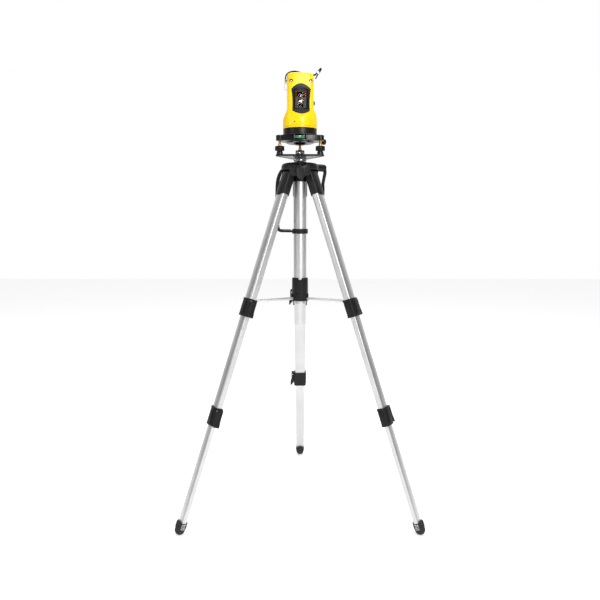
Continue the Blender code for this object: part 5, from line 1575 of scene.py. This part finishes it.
# ---- Spreader -------------------------------------------------------------------
# A two-part black spool slides on the centre tube. Three channel-section
# aluminium braces swing on pins in its slots and reach a riveted lug under
# each upper clamp.
low, high = span("brace_hub")
spool = lathe((
    (0.0158, low), (0.0196, low), (0.0203, low + 0.0006), (0.0205, low + 0.0020), (0.0205, low + 0.0150),
    (0.0203, low + 0.0165), (0.0197, low + 0.0172), (0.0190, low + 0.0178), (0.0192, low + 0.0186),
    (0.0190, high - 0.0040), (0.0186, high - 0.0034), (0.0190, high - 0.0028), (0.0190, high - 0.0008),
    (0.0184, high), (0.0158, high), (0.0158, low),
), 96)
slots = []
for azimuth in SIDES.values():
    slot = block((0.014, 0.0056, 0.020), (0.0232, 0, low + 0.0068), 0.0)
    slot.transform(turned_by(azimuth))
    slots.append(slot)
    notch = block((0.010, 0.0090, 0.0060), (0.0200, 0, high - 0.0012), 0.0008)
    notch.transform(turned_by(azimuth + 60))
    slots.append(notch)
spool = worked(spool, 0.0, slots)
for azimuth in SIDES.values():
    rib = block((0.0016, 0.0022, 0.0200), (0.0193, 0, low + 0.0290), 0.0005)
    rib.transform(turned_by(azimuth + 60))
    add(spool, rib)
piece("sliding_spool", spool, BLACK, "spreader_hub", STAND, ("brace_hub",), 32)

BRACE_ALLOY = anodised("brace_alloy", 0.60, 0.38)
for side in SIDES:
    hinge = JOINTS[f"{side}_brace_swing"]
    pin = Vector(hinge["pos_m"])
    frame_at = leg_frame(side)
    lug_low, lug_high = along(side, f"{side}_upper_clamp")
    lug = frame_at @ Vector((0, -0.0130, lug_high - 0.0030))
    reach = lug - pin
    length = reach.length
    at = axes(pin, reach, (0, 0, 1))
    outline = arc((0, 0), 0.0030, 90, 270, 10) + arc((length, 0), 0.0030, 270, 450, 10)
    strap = prism(outline, -0.0023, 0.0023, rounded=0.0005)
    channel = block((length - 0.020, 0.0034, 0.0034), (length / 2, 0.0, 0.0019), 0.0)
    strap.transform(Matrix.Rotation(math.pi / 2, 4, "X"))
    piece(
        f"{side}_brace_bar", worked(strap, 0.0, (channel,)), BRACE_ALLOY, f"{side}_brace", at,
        (f"{side}_brace",), 30,
    )
    channel_pin = lying(pin_shape(0.0015, 0.0011, 0.0029, 0.0026, 28), (0, 1, 0))
    piece(f"{side}_brace_pin", channel_pin, PIN_STEEL, f"{side}_brace", at)
    lug_bm = bmesh.new()
    for hand in (-1, 1):
        add(lug_bm, block((0.0016, 0.0080, 0.0100), (hand * 0.0036, -0.0118, lug_high - 0.0040), 0.0006))
    add(lug_bm, block((0.0110, 0.0026, 0.0140), (0, -0.0118 + 0.0030, lug_high - 0.0050), 0.0006))
    rivet = lying(pin_shape(0.0018, 0.0012, 0.0052, 0.0046, 28), (1, 0, 0))
    rivet.transform(Matrix.Translation((0, -0.0130, lug_high - 0.0030)))
    piece(f"{side}_brace_lug", lug_bm, BLACK, f"{side}_leg", frame_at)
    piece(f"{side}_brace_rivet", rivet, PIN_STEEL, f"{side}_leg", frame_at)

# ---- Wrist strap -----------------------------------------------------------------
# Woven black webbing folded over the housing's top, held by two pressed metal
# crimps; a wire clip at its left end hooks on the housing's side.
def black_webbing():
    finish = Finish("black_webbing", 0.88, Specular_IOR_Level=0.15)
    weave = finish.grains(1.0, (900, 900, 900))
    finish.colour(weave, (0.004, 0.004, 0.005), (0.022, 0.022, 0.024), 0.1, 0.6)
    finish.bump((weave, 0.6, 0.0002))
    return finish.material


WEBBING = black_webbing()


STRAP_BACK = 0.0150
STRAP_WIDTH = 0.0096
STRAP_THICK = 0.0027


def webbing(route):
    section = soft_box(STRAP_THICK, STRAP_WIDTH, STRAP_THICK * 0.45, 3)
    return bar(smooth_path(route, 8), lambda share: section)


band = webbing([(x, STRAP_BACK, z) for x, z in (
    (-0.0318, 1.0200), (-0.0325, 1.0275), (-0.0295, 1.0345), (-0.0225, 1.0395), (-0.0130, 1.0415),
    (-0.0030, 1.0405), (0.0100, 1.0370), (0.0220, 1.0345), (0.0325, 1.0345), (0.0385, 1.0370),
    (0.0435, 1.0430), (0.0470, 1.0475), (0.0492, 1.0492), (0.0502, 1.0470), (0.0475, 1.0425),
    (0.0430, 1.0365), (0.0400, 1.0315), (0.0382, 1.0275),
)])
piece("strap_webbing", band, WEBBING, "laser", HEAD, ("wrist_strap",), 60)
for number, (x, z, tilt) in enumerate(((0.0428, 1.0395, 0.9), (-0.0320, 1.0200, 1.5))):
    tall = 0.0042 if number else 0.0062
    crimp = block((0.0052, 0.0106, tall), (0, 0, 0), 0.0006)
    for y in (-0.003, 0.0, 0.003):
        add(crimp, block((0.0030, 0.0010, tall + 0.0004), (0, y, 0), 0.0003))
    crimp.transform(Matrix.Translation((x, STRAP_BACK, z)) @ Matrix.Rotation(-tilt, 4, "Y"))
    piece(f"strap_crimp_{number + 1}", crimp, CHROME, "laser", HEAD)


def wire(route, radius):
    return bar(smooth_path(route, 6), lambda share: circle(radius, count=14))


clip = wire([(x, STRAP_BACK, z) for x, z in (
    (-0.0300, 1.0010), (-0.0328, 1.0000), (-0.0352, 1.0030), (-0.0358, 1.0085), (-0.0350, 1.0140),
    (-0.0325, 1.0168), (-0.0304, 1.0130),
)], 0.00055)
piece("wire_clip", clip, CHROME, "laser", HEAD)
